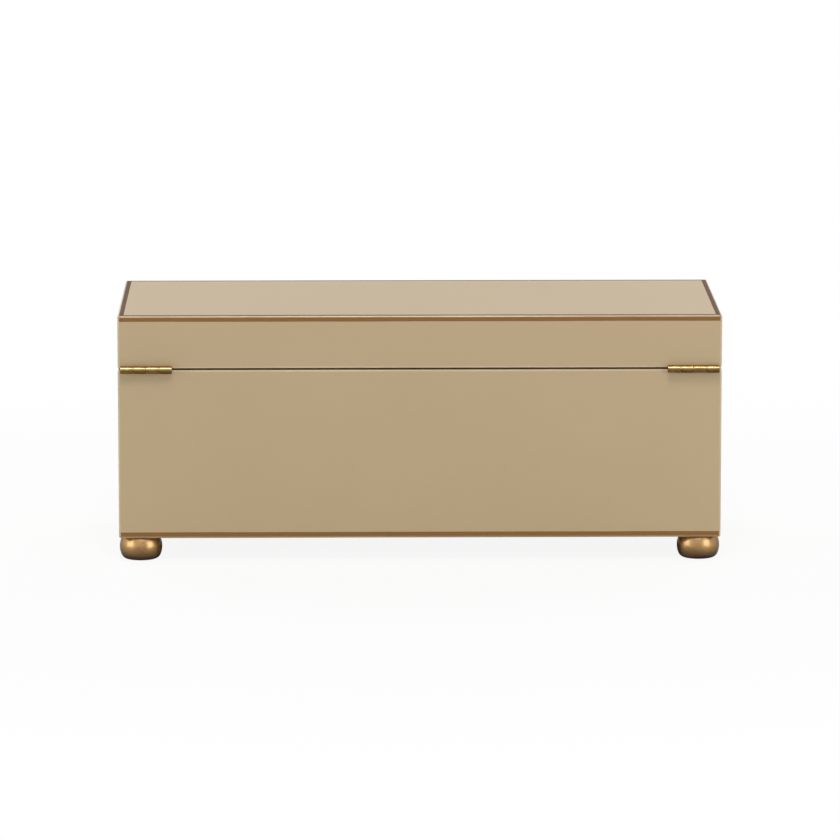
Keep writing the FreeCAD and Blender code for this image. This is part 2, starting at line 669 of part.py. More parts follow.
def make_drawer_front():
    x = ("Places.drawer_left_x", "Places.drawer_right_x")
    y = ("Places.front_y", "Places.drawer_front_inner_y")
    body = board("drawer_front", x, y, ("Places.drawer_front_low_z", "Places.drawer_front_high_z"))
    edges = [("y-", "x-"), ("y-", "x+"), ("y-", "z-"), ("y-", "z+")]
    round_outer_edges(body, "arris", "Sizes.rim_radius", *edges)
    length = "Places.drawer_right_x - Places.drawer_left_x"
    side = "Sizes.drawer_side_thickness"
    pocket(body, "left_sockets", "x", "0", side, tail_sockets())
    pocket(body, "right_sockets", "x", f"{length} - {side}", length, tail_sockets())
    groove_x = ("Places.drawer_inner_left_x - Sizes.drawer_groove_depth",
                "Places.drawer_inner_right_x + Sizes.drawer_groove_depth")
    groove_y = ("Places.drawer_front_inner_y - Sizes.drawer_groove_depth", "Places.drawer_front_inner_y")
    trench(body, "bottom_groove", groove_x, groove_y, BOTTOM_LEVELS)
    housing_y = ("Places.drawer_front_inner_y - Sizes.divider_housing", "Places.drawer_front_inner_y")
    for side in ("left", "right"):
        trench(body, f"{side}_divider_housing", drawer_divider_x(side), housing_y, DRAWER_DIVIDER_LEVELS)
    circles = [
        (f"{sign}Sizes.knob_spacing / 2 - Places.drawer_left_x", "Places.knob_z - Places.drawer_front_low_z",
         "Sizes.knob_screw_diameter / 2 + Sizes.screw_fit")
        for sign in ("-", "")
    ]
    pocket(body, "knob_holes", "y", "0", "Sizes.drawer_front_thickness", circles=circles)


def make_drawer_side(side):
    if side == "left":
        x = ("Places.drawer_left_x", "Places.drawer_inner_left_x")
        groove_x = ("Places.drawer_inner_left_x - Sizes.drawer_groove_depth", "Places.drawer_inner_left_x")
    else:
        x = ("Places.drawer_inner_right_x", "Places.drawer_right_x")
        groove_x = ("Places.drawer_inner_right_x", "Places.drawer_inner_right_x + Sizes.drawer_groove_depth")
    y = ("Places.tail_tip_y", "Places.drawer_end_y")
    z = ("Places.drawer_floor_z", "Places.drawer_top_z")
    body = board(f"drawer_{side}_side", x, y, z)
    pocket(body, "pins_waste", "x", "0", "Sizes.drawer_side_thickness", tail_waste())
    groove_y = ("Places.drawer_front_inner_y - Sizes.drawer_groove_depth", "Places.drawer_end_y")
    trench(body, "bottom_groove", groove_x, groove_y, BOTTOM_LEVELS)
    trench(body, "back_housing", groove_x, BACK_Y, ("Places.drawer_inside_z", "Places.drawer_top_z"))


def make_drawer_back():
    x = ("Places.drawer_inner_left_x - Sizes.drawer_groove_depth",
         "Places.drawer_inner_right_x + Sizes.drawer_groove_depth")
    body = board("drawer_back", x, BACK_Y, ("Places.drawer_inside_z", "Places.drawer_top_z"))
    housing_y = (BACK_Y[0], f"{BACK_Y[0]} + Sizes.divider_housing")
    for side in ("left", "right"):
        trench(body, f"{side}_divider_housing", drawer_divider_x(side), housing_y, DRAWER_DIVIDER_LEVELS)


def make_drawer_bottom():
    x = ("Places.drawer_inner_left_x - Sizes.drawer_groove_depth",
         "Places.drawer_inner_right_x + Sizes.drawer_groove_depth")
    y = ("Places.drawer_front_inner_y - Sizes.drawer_groove_depth", "Places.drawer_back_outer_y")
    board("drawer_bottom", x, y, BOTTOM_LEVELS)


def make_drawer_dividers():
    y = ("Places.drawer_front_inner_y - Sizes.divider_housing", f"{BACK_Y[0]} + Sizes.divider_housing")
    for side in ("left", "right"):
        board(f"drawer_{side}_divider", drawer_divider_x(side), y, DRAWER_DIVIDER_LEVELS)


def make_drawer_stops():
    """Two blocks on the case's base that the drawer's sides come home against."""
    x = ("Places.drawer_left_x", "Places.drawer_left_x + Sizes.stop_block_width")
    y = ("Places.stop_block_y", "Places.inner_back_y")
    body = board("drawer_stops", x, y, ("Places.bay_floor_z", "Places.bay_floor_z + Sizes.stop_block_height"))
    run = "Places.drawer_right_x - Places.drawer_left_x - Sizes.stop_block_width"
    repeat(body, "pair", body.Tip, "x", run, 2)


# ---------------------------------------------------------------------------------------------------
# Turned brass: feet and knobs, with their studs and screws
# ---------------------------------------------------------------------------------------------------


def make_foot(side, end):
    """A ball cut flat above and below, with a rounded lower edge and a bore for its stud."""
    body = new_body(f"foot_{end}_{side}", f"Places.foot_{side}_x", f"Places.foot_{end}_y", "0")
    sketch = new_sketch(body, "profile", "y", "0")
    radius, equator = value("Places.foot_radius"), value("Sizes.foot_equator_height")
    height, blend = value("Sizes.foot_height"), value("Sizes.foot_base_radius")
    # The lower edge's arc touches the floor and the inside of the ball.
    blend_x = math.sqrt((radius - blend) ** 2 - (equator - blend) ** 2)
    touch = math.atan2(blend - equator, blend_x)
    seat_angle = math.asin((height - equator) / radius)
    seat = radius * math.cos(seat_angle)
    up = FreeCAD.Vector(0, 0, 1)
    ball = Part.Circle(FreeCAD.Vector(0, equator, 0), up, radius)
    lower = Part.Circle(FreeCAD.Vector(blend_x, blend, 0), up, blend)
    spots = [FreeCAD.Vector(x, y, 0) for x, y in ((0, 0), (blend_x, 0), (seat, height), (0, height))]
    sketch.addGeometry(Part.LineSegment(spots[0], spots[1]))
    sketch.addGeometry(Part.ArcOfCircle(lower, -math.pi / 2, touch))
    sketch.addGeometry(Part.ArcOfCircle(ball, touch, seat_angle))
    sketch.addGeometry(Part.LineSegment(spots[2], spots[3]))
    sketch.addGeometry(Part.LineSegment(spots[3], spots[0]))
    for constraint in (("Tangent", 0, 2, 1, 1), ("Tangent", 1, 2, 2, 1), ("Coincident", 2, 2, 3, 1),
                       ("Coincident", 3, 2, 4, 1), ("Coincident", 4, 2, 0, 1), ("Horizontal", 0),
                       ("Horizontal", 3), ("Vertical", 4)):
        sketch.addConstraint(Sketcher.Constraint(*constraint))
    hold_point(sketch, 0, 1, "0", "0")
    hold_point(sketch, 2, 3, "0", "Sizes.foot_equator_height")
    hold_radius(sketch, 1, "Sizes.foot_base_radius")
    hold_radius(sketch, 2, "Places.foot_radius")
    top = sketch.addConstraint(Sketcher.Constraint("DistanceY", -1, 1, 3, 2, height))
    sketch.setExpression(f"Constraints[{top}]", "Sizes.foot_height")
    turn(body, "ball", sketch)
    low = "Sizes.foot_height - Sizes.stud_length_in_foot"
    hole = ("0", "0", "Sizes.stud_diameter / 2 + Sizes.screw_fit")
    pocket(body, "stud_hole", "z", low, "Sizes.foot_height", circles=[hole])


def make_foot_studs():
    """A stud through each foot's top into the base."""
    low_z = "Places.base_z - Sizes.stud_length_in_foot"
    body = new_body("foot_studs", "Places.foot_left_x", "Places.foot_front_y", low_z)
    length = "Sizes.stud_length_in_foot + Sizes.stud_length_in_base"
    stud = pad(body, "stud", "z", "0", length, circles=[("0", "0", "Sizes.stud_diameter / 2")])
    doc.recompute()
    rows = body.newObject("PartDesign::MultiTransform", "foot_studs_all")
    rows.Originals = [stud]
    across = ("x", "Places.foot_right_x - Places.foot_left_x")
    along = ("y", "Places.foot_back_y - Places.foot_front_y")
    finish_rows(body, rows, (across, along))


def finish_rows(body, rows, runs):
    """Gives a multi-transform one two-copy row for each (axis, length)."""
    steps = []
    for axis, run in runs:
        step = body.newObject("PartDesign::LinearPattern", f"{body.Label}_row_{axis}_{len(steps)}")
        step.Direction = (origin_feature(body, AXES[axis]), [""])
        step.setExpression("Length", run)
        step.Occurrences = 2
        steps.append(step)
    rows.Transformations = steps
    body.Tip = rows
    doc.recompute()


def make_knob(side):
    """A ball on a short stem and flange, turned in one piece and tapped from behind."""
    sign = "-" if side == "left" else ""
    body = new_body(f"drawer_{side}_knob", f"{sign}Sizes.knob_spacing / 2", "Places.front_y", "Places.knob_z",
                    turn=((1, 0, 0), 90))
    sketch = new_sketch(body, "profile", "y", "0")
    ball, centre = value("Sizes.knob_ball_diameter") / 2, value("Places.knob_ball_z")
    flange, stem = value("Sizes.knob_flange_diameter") / 2, value("Sizes.knob_stem_diameter") / 2
    plate = value("Sizes.knob_flange_thickness")
    join_angle = -math.acos(stem / ball)
    join = (stem, centre + ball * math.sin(join_angle))
    spots = [(0, 0), (flange, 0), (flange, plate), (stem, plate), join]
    spots = [FreeCAD.Vector(x, y, 0) for x, y in spots]
    for start, stop in zip(spots, spots[1:]):
        sketch.addGeometry(Part.LineSegment(start, stop))
    circle = Part.Circle(FreeCAD.Vector(0, centre, 0), FreeCAD.Vector(0, 0, 1), ball)
    sketch.addGeometry(Part.ArcOfCircle(circle, join_angle, math.pi / 2))
    sketch.addGeometry(Part.LineSegment(FreeCAD.Vector(0, centre + ball, 0), spots[0]))
    for i in range(6):
        sketch.addConstraint(Sketcher.Constraint("Coincident", i, 2, (i + 1) % 6, 1))
    hold_point(sketch, 0, 1, "0", "0")
    hold_point(sketch, 1, 1, "Sizes.knob_flange_diameter / 2", "0")
    hold_point(sketch, 2, 1, "Sizes.knob_flange_diameter / 2", "Sizes.knob_flange_thickness")
    hold_point(sketch, 3, 1, "Sizes.knob_stem_diameter / 2", "Sizes.knob_flange_thickness")
    sketch.addConstraint(Sketcher.Constraint("Vertical", 3))
    sketch.addConstraint(Sketcher.Constraint("Vertical", 5))
    hold_point(sketch, 4, 3, "0", "Places.knob_ball_z")
    hold_radius(sketch, 4, "Sizes.knob_ball_diameter / 2")
    turn(body, "ball", sketch)
    hole = ("0", "0", "Sizes.knob_screw_diameter / 2 + Sizes.screw_fit")
    pocket(body, "screw_hole", "z", "0", "Sizes.knob_screw_grip + Sizes.screw_fit", circles=[hole])


def make_knob_screws():
    """Pan-head screws through the drawer front into the knobs, heads inside the drawer."""
    body = new_body("knob_screws", "-Sizes.knob_spacing / 2", "Places.drawer_front_inner_y", "Places.knob_z",
                    turn=((1, 0, 0), 90))
    sketch = new_sketch(body, "profile", "y", "0")
    head, shank = "Sizes.knob_screw_head_diameter / 2", "Sizes.knob_screw_diameter / 2"
    depth, tip = "-Sizes.knob_screw_head_height", "Sizes.drawer_front_thickness + Sizes.knob_screw_grip"
    add_loop(sketch, [("0", depth), (head, depth), (head, "0"), (shank, "0"), (shank, tip), ("0", tip)])
    screw = turn(body, "screw", sketch)
    repeat(body, "pair", screw, "x", "Sizes.knob_spacing", 2)


# ---------------------------------------------------------------------------------------------------
# Hinges: two leaves let into the rims, four knuckles in turn, and a pin held by the case's knuckles
# ---------------------------------------------------------------------------------------------------


def make_leaf(side, part):
    """One leaf with its two knuckles. The lid's knuckles carry the heels that stop the lid."""
    body = new_body(f"{side}_hinge_{part}_leaf", f"Places.{side}_hinge_x", "Places.pivot_y", "Places.pivot_z")
    length = "Sizes.hinge_length"
    inner, outer = "Sizes.lid_gap / 2", "Sizes.lid_gap / 2 + Sizes.leaf_thickness"
    plate_z = (f"-({outer})", f"-({inner})") if part == "case" else (inner, outer)
    plate_y = "Places.leaf_y - Places.pivot_y"
    pad(body, "plate", "x", "0", length, [oblong((plate_y, plate_z[0]), ("0", plate_z[1]))])
    pad(body, "barrel", "x", "0", length, circles=[("0", "0", "Places.barrel_radius")])
    if part == "lid":
        pad(body, "heel", "x", "0", length, [heel_outline()])
    fit = "Sizes.pin_press_fit" if part == "case" else "Sizes.pin_running_fit"
    pocket(body, "bore", "x", "0", length, circles=[("0", "0", f"Sizes.pin_diameter / 2 + {fit}")])

    # Clears the other leaf's knuckles back to the box's back face.
    first = 1 if part == "case" else 0
    low_x = f"Places.knuckle_length * {first} - Sizes.knuckle_play / 2"
    high_x = f"Places.knuckle_length * {first + 1} + Sizes.knuckle_play / 2"
    gap = oblong((low_x, "-Places.axis_offset"), (high_x, "Places.heel_reach"))
    cut = pocket(body, "gap", "z", "-Places.heel_reach", "Places.heel_reach", [gap])
    repeat(body, "gaps", cut, "x", "Places.knuckle_length * 2", 2)

    # Countersunk holes, wide at the face that meets the other leaf
    hole = body.newObject("PartDesign::SubtractiveCone", f"{body.Label}_countersink")
    hole.AttachmentSupport = [(origin_feature(body, "XY_Plane"), "")]
    hole.MapMode = "FlatFace"
    wide, narrow = "Sizes.hinge_screw_head_diameter / 2", "Sizes.hinge_screw_diameter / 2"
    hole.setExpression("Radius1", f"{narrow if part == 'case' else wide} + Sizes.screw_fit")
    hole.setExpression("Radius2", f"{wide if part == 'case' else narrow} + Sizes.screw_fit")
    hole.setExpression("Height", "Sizes.leaf_thickness")
    hole.setExpression("AttachmentOffset.Base.x", "Places.hinge_screw_inset")
    hole.setExpression("AttachmentOffset.Base.y", "Places.hinge_screw_y - Places.pivot_y")
    hole.setExpression("AttachmentOffset.Base.z", plate_z[0])
    repeat(body, "countersinks", hole, "x", "Sizes.hinge_screw_spacing", 2)


def heel_outline():
    """The heel's corner and the two points where its flats leave the barrel, across X."""
    points = [("0", "0")]
    for sign in "-+":
        angle = f"(Places.heel_angle {sign} Places.heel_half_angle) * 1 deg"
        points.append((f"-Places.barrel_radius * cos({angle})", f"Places.barrel_radius * sin({angle})"))
    points.insert(2, ("Places.heel_y", "Places.heel_z"))
    return points


def make_pin(side):
    body = new_body(f"{side}_hinge_pin", f"Places.{side}_hinge_x", "Places.pivot_y", "Places.pivot_z")
    pad(body, "rod", "x", "0", "Sizes.hinge_length", circles=[("0", "0", "Sizes.pin_diameter / 2")])


def make_hinge_screws(part):
    """Countersunk wood screws, heads flush with the leaves: down into the case, up into the lid."""
    rim = "Places.rim_z" if part == "case" else "Places.lid_rim_z"
    over = None if part == "case" else ((1, 0, 0), 180)
    first_x = "Places.left_hinge_x + Places.hinge_screw_inset"
    body = new_body(f"hinge_{part}_screws", first_x, "Places.hinge_screw_y", rim, turn=over)
    sketch = new_sketch(body, "profile", "y", "0")
    head, shank = "Sizes.hinge_screw_head_diameter / 2", "Sizes.hinge_screw_diameter / 2"
    neck, point = "-Sizes.leaf_thickness", "-Sizes.hinge_screw_length"
    add_loop(sketch, [("0", "0"), (head, "0"), (shank, neck), (shank, f"{point} + {shank}"), ("0", point)])
    screw = turn(body, "screw", sketch)
    rows = body.newObject("PartDesign::MultiTransform", f"hinge_{part}_screws_all")
    rows.Originals = [screw]
    # The body's own X still runs along the box's when it is turned over.
    finish_rows(body, rows, (("x", "Sizes.hinge_screw_spacing"), ("x", "Places.hinge_spacing")))


def build():
    """Makes every piece of the box."""
    make_case_back()
    make_case_side("left")
    make_case_side("right")
    make_case_front()
    make_case_base()
    make_well_floor()
    make_dividers()
    make_lid_boards()
    make_lid_panel()
    make_lid_bumpers()
    make_drawer_front()
    make_drawer_side("left")
    make_drawer_side("right")
    make_drawer_back()
    make_drawer_bottom()
    make_drawer_dividers()
    make_drawer_stops()
    for end in ("front", "back"):
        for side in ("left", "right"):
            make_foot(side, end)
    make_foot_studs()
    make_knob_screws()
    for side in ("left", "right"):
        make_knob(side)
        make_leaf(side, "case")
        make_leaf(side, "lid")
        make_pin(side)
    make_hinge_screws("case")
    make_hinge_screws("lid")
    doc.recompute()


def check_and_export():
    """Stops if any object failed, then writes each piece to its own STEP file."""
    for item in doc.Objects:
        if "Invalid" in item.State or "Error" in item.State:
            raise RuntimeError(f"{item.Label} failed: {item.State}")
    pieces = [item for item in doc.Objects if item.TypeId == "PartDesign::Body"]
    os.makedirs("parts", exist_ok=True)
    for piece in pieces:
        shape = piece.Shape
        if shape.isNull() or not shape.isValid() or not shape.Solids:
            raise RuntimeError(f"{piece.Label} has no valid solid")
        shape.exportStep(f"parts/{piece.Label}.step")
    print(f"{len(pieces)} pieces, {sum(len(piece.Shape.Solids) for piece in pieces)} solids")


build()
check_and_export()
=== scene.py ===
# %% [markdown]
# # A lacquered paint box
#
# This is a long, low box for watercolours. Its lid is hinged at the back over a divided well, and one
# drawer slides out of the front below the well. It stands on four brass balls, and gilt lines are
# painted along its edges. The boards come from the solid model, at their real size, and the lesson gives
# them their finishes. It also remakes the small turned, slotted, pressed and punched pieces, in the
# solids' own places and sizes, because their looks need more shape than the solids carry.

# %% Load the solid model
import math

import bmesh
import bpy
from mathutils import Matrix, Vector


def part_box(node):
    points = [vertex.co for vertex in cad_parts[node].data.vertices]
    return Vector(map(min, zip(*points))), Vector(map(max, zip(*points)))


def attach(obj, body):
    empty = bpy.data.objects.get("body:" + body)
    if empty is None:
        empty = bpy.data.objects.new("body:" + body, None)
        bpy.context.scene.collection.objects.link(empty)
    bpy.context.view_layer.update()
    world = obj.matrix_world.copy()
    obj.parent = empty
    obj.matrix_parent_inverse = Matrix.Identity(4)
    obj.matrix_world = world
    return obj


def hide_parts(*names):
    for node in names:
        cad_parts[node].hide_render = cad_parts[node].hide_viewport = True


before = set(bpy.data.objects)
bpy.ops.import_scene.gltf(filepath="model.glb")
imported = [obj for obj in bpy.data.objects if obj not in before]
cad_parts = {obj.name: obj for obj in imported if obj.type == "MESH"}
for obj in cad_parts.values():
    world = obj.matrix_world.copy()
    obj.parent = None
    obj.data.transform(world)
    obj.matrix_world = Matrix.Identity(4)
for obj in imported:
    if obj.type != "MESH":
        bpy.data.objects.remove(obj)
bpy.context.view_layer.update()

MM = 0.001

# %% [markdown]
# ## Places
#
# A painted line, a screw and the camera all have to find the box. Typing coordinates would work until a
# size changed, so every place is read from the solid pieces' own boxes instead. Blender works in metres,
# and sizes that a maker would measure are written in millimetres.

# %% Read the main places
BACK_LOW, BACK_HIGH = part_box("case_back")
PANEL_LOW, PANEL_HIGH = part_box("lid_panel")
HALF_WIDTH = PANEL_HIGH.x
FRONT_Y = PANEL_LOW.y
BACK_Y = PANEL_HIGH.y
BASE_Z = BACK_LOW.z
LID_TOP_Z = PANEL_HIGH.z

LID_RIM_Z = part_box("lid_back")[0].z
GAP_Z = (BACK_HIGH.z + LID_RIM_Z) / 2
HALF_GAP = (LID_RIM_Z - BACK_HIGH.z) / 2

SIDE_INNER_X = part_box("case_left_side")[1].x
FRONT_INNER_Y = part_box("case_front")[1].y
CAVITY_LOW = Vector((SIDE_INNER_X, FRONT_INNER_Y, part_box("case_base")[1].z))
CAVITY_HIGH = Vector((-SIDE_INNER_X, BACK_LOW.y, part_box("lid_front")[1].z))


def in_mm(*lengths):
    """Lengths in millimetres, to a hundredth, for printing."""
    return ", ".join(f"{length / MM:.2f}" for length in lengths) + " mm"


print("outside", in_mm(2 * HALF_WIDTH, BACK_Y - FRONT_Y, LID_TOP_Z))
print("hollow", in_mm(*(CAVITY_HIGH - CAVITY_LOW)), "and lid gap", in_mm(2 * HALF_GAP))

# %% [markdown]
# ## Camera
#
# The box is seen from behind, a little from above, with a long lens. A long lens far away keeps the
# sides nearly parallel, so the box's proportions read true. A short lens close by would show the same
# face, but the top would narrow much faster. The camera stands slightly to the left, so the left end of
# the lid shows more of its slope than the right end.

# %% Place the camera
CAMERA_DISTANCE = 2.95
CAMERA_RISE = 0.439
CAMERA_SIDESTEP = 0.0422
AIM_HEIGHT = 0.0725
FOCAL_LENGTH = 253.7  # in millimetres, on a sensor 36 mm wide

camera = bpy.data.objects.new("camera", bpy.data.cameras.new("camera"))
bpy.context.scene.collection.objects.link(camera)
camera.location = (CAMERA_SIDESTEP, BACK_Y + CAMERA_DISTANCE, LID_TOP_Z + CAMERA_RISE)
aim = Vector((0, BACK_Y, AIM_HEIGHT))
camera.rotation_euler = (aim - camera.location).to_track_quat("-Z", "Y").to_euler()
camera.data.lens = FOCAL_LENGTH
camera.data.sensor_width = 36
camera.data.clip_end = 50
bpy.context.scene.camera = camera
print(f"the camera looks down by {math.degrees(math.pi / 2 - camera.rotation_euler.x):.1f} degrees")

# %% [markdown]
# ## Nodes and colours
#
# Each finish is a graph of shader nodes. A few small helpers keep the graphs short. One adds a node,
# sets its options and fills its sockets, from a value or from another node's output. One turns a colour
# as a paint chart gives it, a hex number, into the linear light that the shader works in. Every graph
# starts from the place of a point on the object, so that patterns keep their real size, and ends in one
# shader.


# %% Helpers for materials
def linear(hex_colour):
    """A colour chart's hex value as linear red, green, blue and full alpha."""
    parts = [int(hex_colour[i:i + 2], 16) / 255 for i in (1, 3, 5)]
    return [p / 12.92 if p <= 0.04045 else ((p + 0.055) / 1.055) ** 2.4 for p in parts] + [1.0]


def add(tree, kind, sockets=None, **options):
    """Adds a node with its options, and sets or links its input sockets."""
    node = tree.nodes.new(kind)
    for name, option in options.items():
        setattr(node, name, option)
    for name, source in (sockets or {}).items():
        if isinstance(source, bpy.types.NodeSocket):
            tree.links.new(source, node.inputs[name])
        else:
            node.inputs[name].default_value = source
    return node


def new_material(name):
    """An empty material, its node tree, and the socket that gives a point's place on the object."""
    material = bpy.data.materials.new(name)
    material.use_nodes = True
    tree = material.node_tree
    tree.nodes.clear()
    return material, tree, add(tree, "ShaderNodeTexCoord").outputs["Object"]


def finish_material(tree, sockets):
    """Ends a graph in a Principled shader with the given inputs."""
    shader = add(tree, "ShaderNodeBsdfPrincipled", sockets)
    add(tree, "ShaderNodeOutputMaterial", {"Surface": shader.outputs["BSDF"]})


print("middle grey is", round(linear("#808080")[0], 3), "in linear light")

# %% [markdown]
# ## Beech
#
# The inside of the box, the dividers and the drawer are beech under a thin clear satin finish. A flat
# picture of wood would repeat and would show long grain even on a sawn end. Here the figure is worked
# out in space instead: growth rings stand round a line that runs along the board, fine pores are
# stretched along that line, and short dark flecks lie between them. Wherever the board is cut, the right
# figure shows.

# %% Run the grain along a board
PITH_OFFSET = Vector((0.0, 38.0, -75.0)) * MM  # from the tree's middle to the first board
BOARD_SHIFT = Vector((0.31, 0.013, 0.007))  # from one board's figure to the next one's, in metres
AXIS_ORDER = {"x": ("X", "Y", "Z"), "y": ("Y", "X", "Z")}


def board_coordinates(tree, place, grain, board):
    """Places turned so that X runs along the grain, and shifted so that each board differs."""
    split = add(tree, "ShaderNodeSeparateXYZ", {"Vector": place}).outputs
    sockets = {to: split[axis] for to, axis in zip("XYZ", AXIS_ORDER[grain])}
    turned = add(tree, "ShaderNodeCombineXYZ", sockets)
    shift = PITH_OFFSET + BOARD_SHIFT * board
    return add(tree, "ShaderNodeMapping", {"Vector": turned.outputs[0], "Location": shift}).outputs[0]


def stretched_noise(tree, place, width, stretch, detail=3.0):
    """Noise whose grains are width wide and stretch times as long, along X."""
    scale = (1 / (width * stretch), 1 / width, 1 / width)
    scaled = add(tree, "ShaderNodeMapping", {"Vector": place, "Scale": scale})
    sockets = {"Vector": scaled.outputs[0], "Scale": 1.0, "Detail": detail, "Roughness": 0.55}
    return add(tree, "ShaderNodeTexNoise", sockets).outputs["Fac"]


print("one board's figure is shifted from the next one's by", in_mm(*BOARD_SHIFT))


# %% Helpers for mixing and relief
def mix_colour(tree, factor, first, second):
    """Mixes two colours, each a socket or a hex value, by a factor."""
    node = add(tree, "ShaderNodeMix", {"Factor": factor}, data_type="RGBA")
    for name, colour in (("A", first), ("B", second)):
        target = next(socket for socket in node.inputs if socket.name == name and socket.type == "RGBA")
        if isinstance(colour, str):
            target.default_value = linear(colour)
        else:
            tree.links.new(colour, target)
    return next(socket for socket in node.outputs if socket.type == "RGBA")


def sloped(tree, source, low, high, to_low=0.0, to_high=1.0):
    """Maps a value from one range to another, held at its ends."""
    sockets = {"Value": source, "From Min": low, "From Max": high, "To Min": to_low, "To Max": to_high}
    return add(tree, "ShaderNodeMapRange", sockets).outputs[0]


def relief(tree, height, strength, distance, under=None):
    """A surface direction disturbed by a height, over another one if it is given."""
    sockets = {"Height": height, "Strength": strength, "Distance": distance}
    if under is not None:
        sockets["Normal"] = under
    return add(tree, "ShaderNodeBump", sockets).outputs[0]


print("made the helpers mix_colour, sloped and relief")

# %% Beech under a clear finish
RING_SPACING = 2.4 * MM
RING_SQUEEZE = 0.12  # rings wander this much less along the grain than across it
PORE_WIDTH = 0.5 * MM  # real pores are finer, but these are as fine as shows
FLECK_WIDTH = 0.7 * MM
TONE_WIDTH = 40 * MM
WAVE_PERIOD = 2 * math.pi / 20  # a wave texture of scale 1 repeats after this length
PALE_BEECH = "#D9B68D"
RING_BEECH = "#C69C70"
PORE_BEECH = "#B78A5E"
FLECK_BEECH = "#9C6F47"
WARM_BEECH = "#CFA67C"


def beech_figure(tree, place, grain, board):
    """Beech's colour, roughness and height as three sockets."""
    along = board_coordinates(tree, place, grain, board)
    squeezed = add(tree, "ShaderNodeMapping", {"Vector": along, "Scale": (RING_SQUEEZE, 1.0, 1.0)})
    sockets = {"Vector": squeezed.outputs[0], "Scale": WAVE_PERIOD / RING_SPACING, "Distortion": 5.0,
               "Detail": 2.0, "Detail Scale": 0.35, "Detail Roughness": 0.5}
    rings = add(tree, "ShaderNodeTexWave", sockets, wave_type="RINGS", rings_direction="X",
                wave_profile="SAW")
    pores = stretched_noise(tree, along, PORE_WIDTH, 40.0)
    flecks = stretched_noise(tree, along, FLECK_WIDTH, 5.0, detail=1.0)
    tone = stretched_noise(tree, along, TONE_WIDTH, 6.0, detail=1.0)
    ring_tone = sloped(tree, rings.outputs["Fac"], 0.0, 1.0, 0.0, 0.55)
    colour = mix_colour(tree, ring_tone, PALE_BEECH, RING_BEECH)
    colour = mix_colour(tree, sloped(tree, pores, 0.42, 0.75, 0.0, 0.6), colour, PORE_BEECH)
    colour = mix_colour(tree, sloped(tree, flecks, 0.66, 0.72, 0.0, 0.55), colour, FLECK_BEECH)
    colour = mix_colour(tree, sloped(tree, tone, 0.35, 0.65, 0.0, 0.35), colour, WARM_BEECH)
    roughness = sloped(tree, pores, 0.3, 0.7, 0.40, 0.52)
    return colour, roughness, pores


def beech(grain, board):
    """Clear satin lacquer on planed beech, which keeps a soft sheen along the grain."""
    material, tree, place = new_material(f"satin_beech_{grain}_{board}")
    colour, roughness, pores = beech_figure(tree, place, grain, board)
    normal = relief(tree, pores, 0.35, 0.05 * MM)
    finish_material(tree, {"Base Color": colour, "Roughness": roughness, "Normal": normal})
    return material


print("beech: rings", in_mm(RING_SPACING), "apart and pores", in_mm(PORE_WIDTH), "wide")

# %% [markdown]
# ## Lacquer and gilt lines
#
# Outside, the boards carry a sprayed taupe lacquer, rubbed down to a satin. It hides every joint, so it
# has to run from board to board without a break, and it does because its pattern is worked out from the
# place in space and not from each board. It covers the rims and stops at their inner edge. The rubbing
# leaves the rounded arrises smoother than the flats, and their paler colour is a painted highlight.
#
# The gilt lines are bronze paint, laid by hand along the edges with a narrow brush, and the frame on the
# lid's top is painted a darker umber, as painted shade. They could be thin solid strips, but paint has
# no thickness that shows.
# They are a mask instead: the paint is where a point is near both faces of an edge, and the mask's limit
# wanders a little, as a hand does.


# %% Measure a point's depth under each face
def calculate(tree, operation, first, second=0.0):
    """One step of arithmetic between two values, and its result's socket."""
    return add(tree, "ShaderNodeMath", {0: first, 1: second}, operation=operation).outputs[0]


def depths(tree, place):
    """How far a point lies inside the box's ends, long faces, top, underside and rims, by name."""
    to_middle = (0, -(FRONT_Y + BACK_Y) / 2, 0)
    centred = add(tree, "ShaderNodeMapping", {"Vector": place, "Location": to_middle})
    size = add(tree, "ShaderNodeVectorMath", {0: centred.outputs[0]}, operation="ABSOLUTE")
    x, y, z = add(tree, "ShaderNodeSeparateXYZ", {"Vector": size.outputs[0]}).outputs
    from_gap = calculate(tree, "ABSOLUTE", calculate(tree, "SUBTRACT", z, GAP_Z))
    return {
        "ends": calculate(tree, "SUBTRACT", HALF_WIDTH, x),
        "faces": calculate(tree, "SUBTRACT", (BACK_Y - FRONT_Y) / 2, y),
        "top": calculate(tree, "SUBTRACT", LID_TOP_Z, z),
        "underside": calculate(tree, "SUBTRACT", z, BASE_Z),
        "rims": calculate(tree, "SUBTRACT", from_gap, HALF_GAP),
    }


print("the box's middle is at y", in_mm((FRONT_Y + BACK_Y) / 2), "and its lid gap at z", in_mm(GAP_Z))

# %% Mask the gilt lines
TOP_LINE = 2.95 * MM  # on the lid's upright faces
TOP_FRAME = 3.1 * MM  # on the lid's top
BOTTOM_LINE = 3.1 * MM
UNDER_LINE = 1.2 * MM
HAND_WANDER = 0.14 * MM
HAND_PERIOD = 38 * MM
LAP = 0.05 * MM
CORNER_LEFT = 0.8 * MM  # the brush lifts off this far before an upright corner


def noise(tree, place, size, detail, distortion=0.0):
    """Noise whose patches are about size wide every way."""
    sockets = {"Vector": place, "Scale": 1 / size, "Detail": detail, "Distortion": distortion}
    return add(tree, "ShaderNodeTexNoise", sockets).outputs["Fac"]


def inverted(tree, mask):
    """0 where a mask is 1, and 1 where it is 0."""
    return calculate(tree, "SUBTRACT", 1.0, mask)


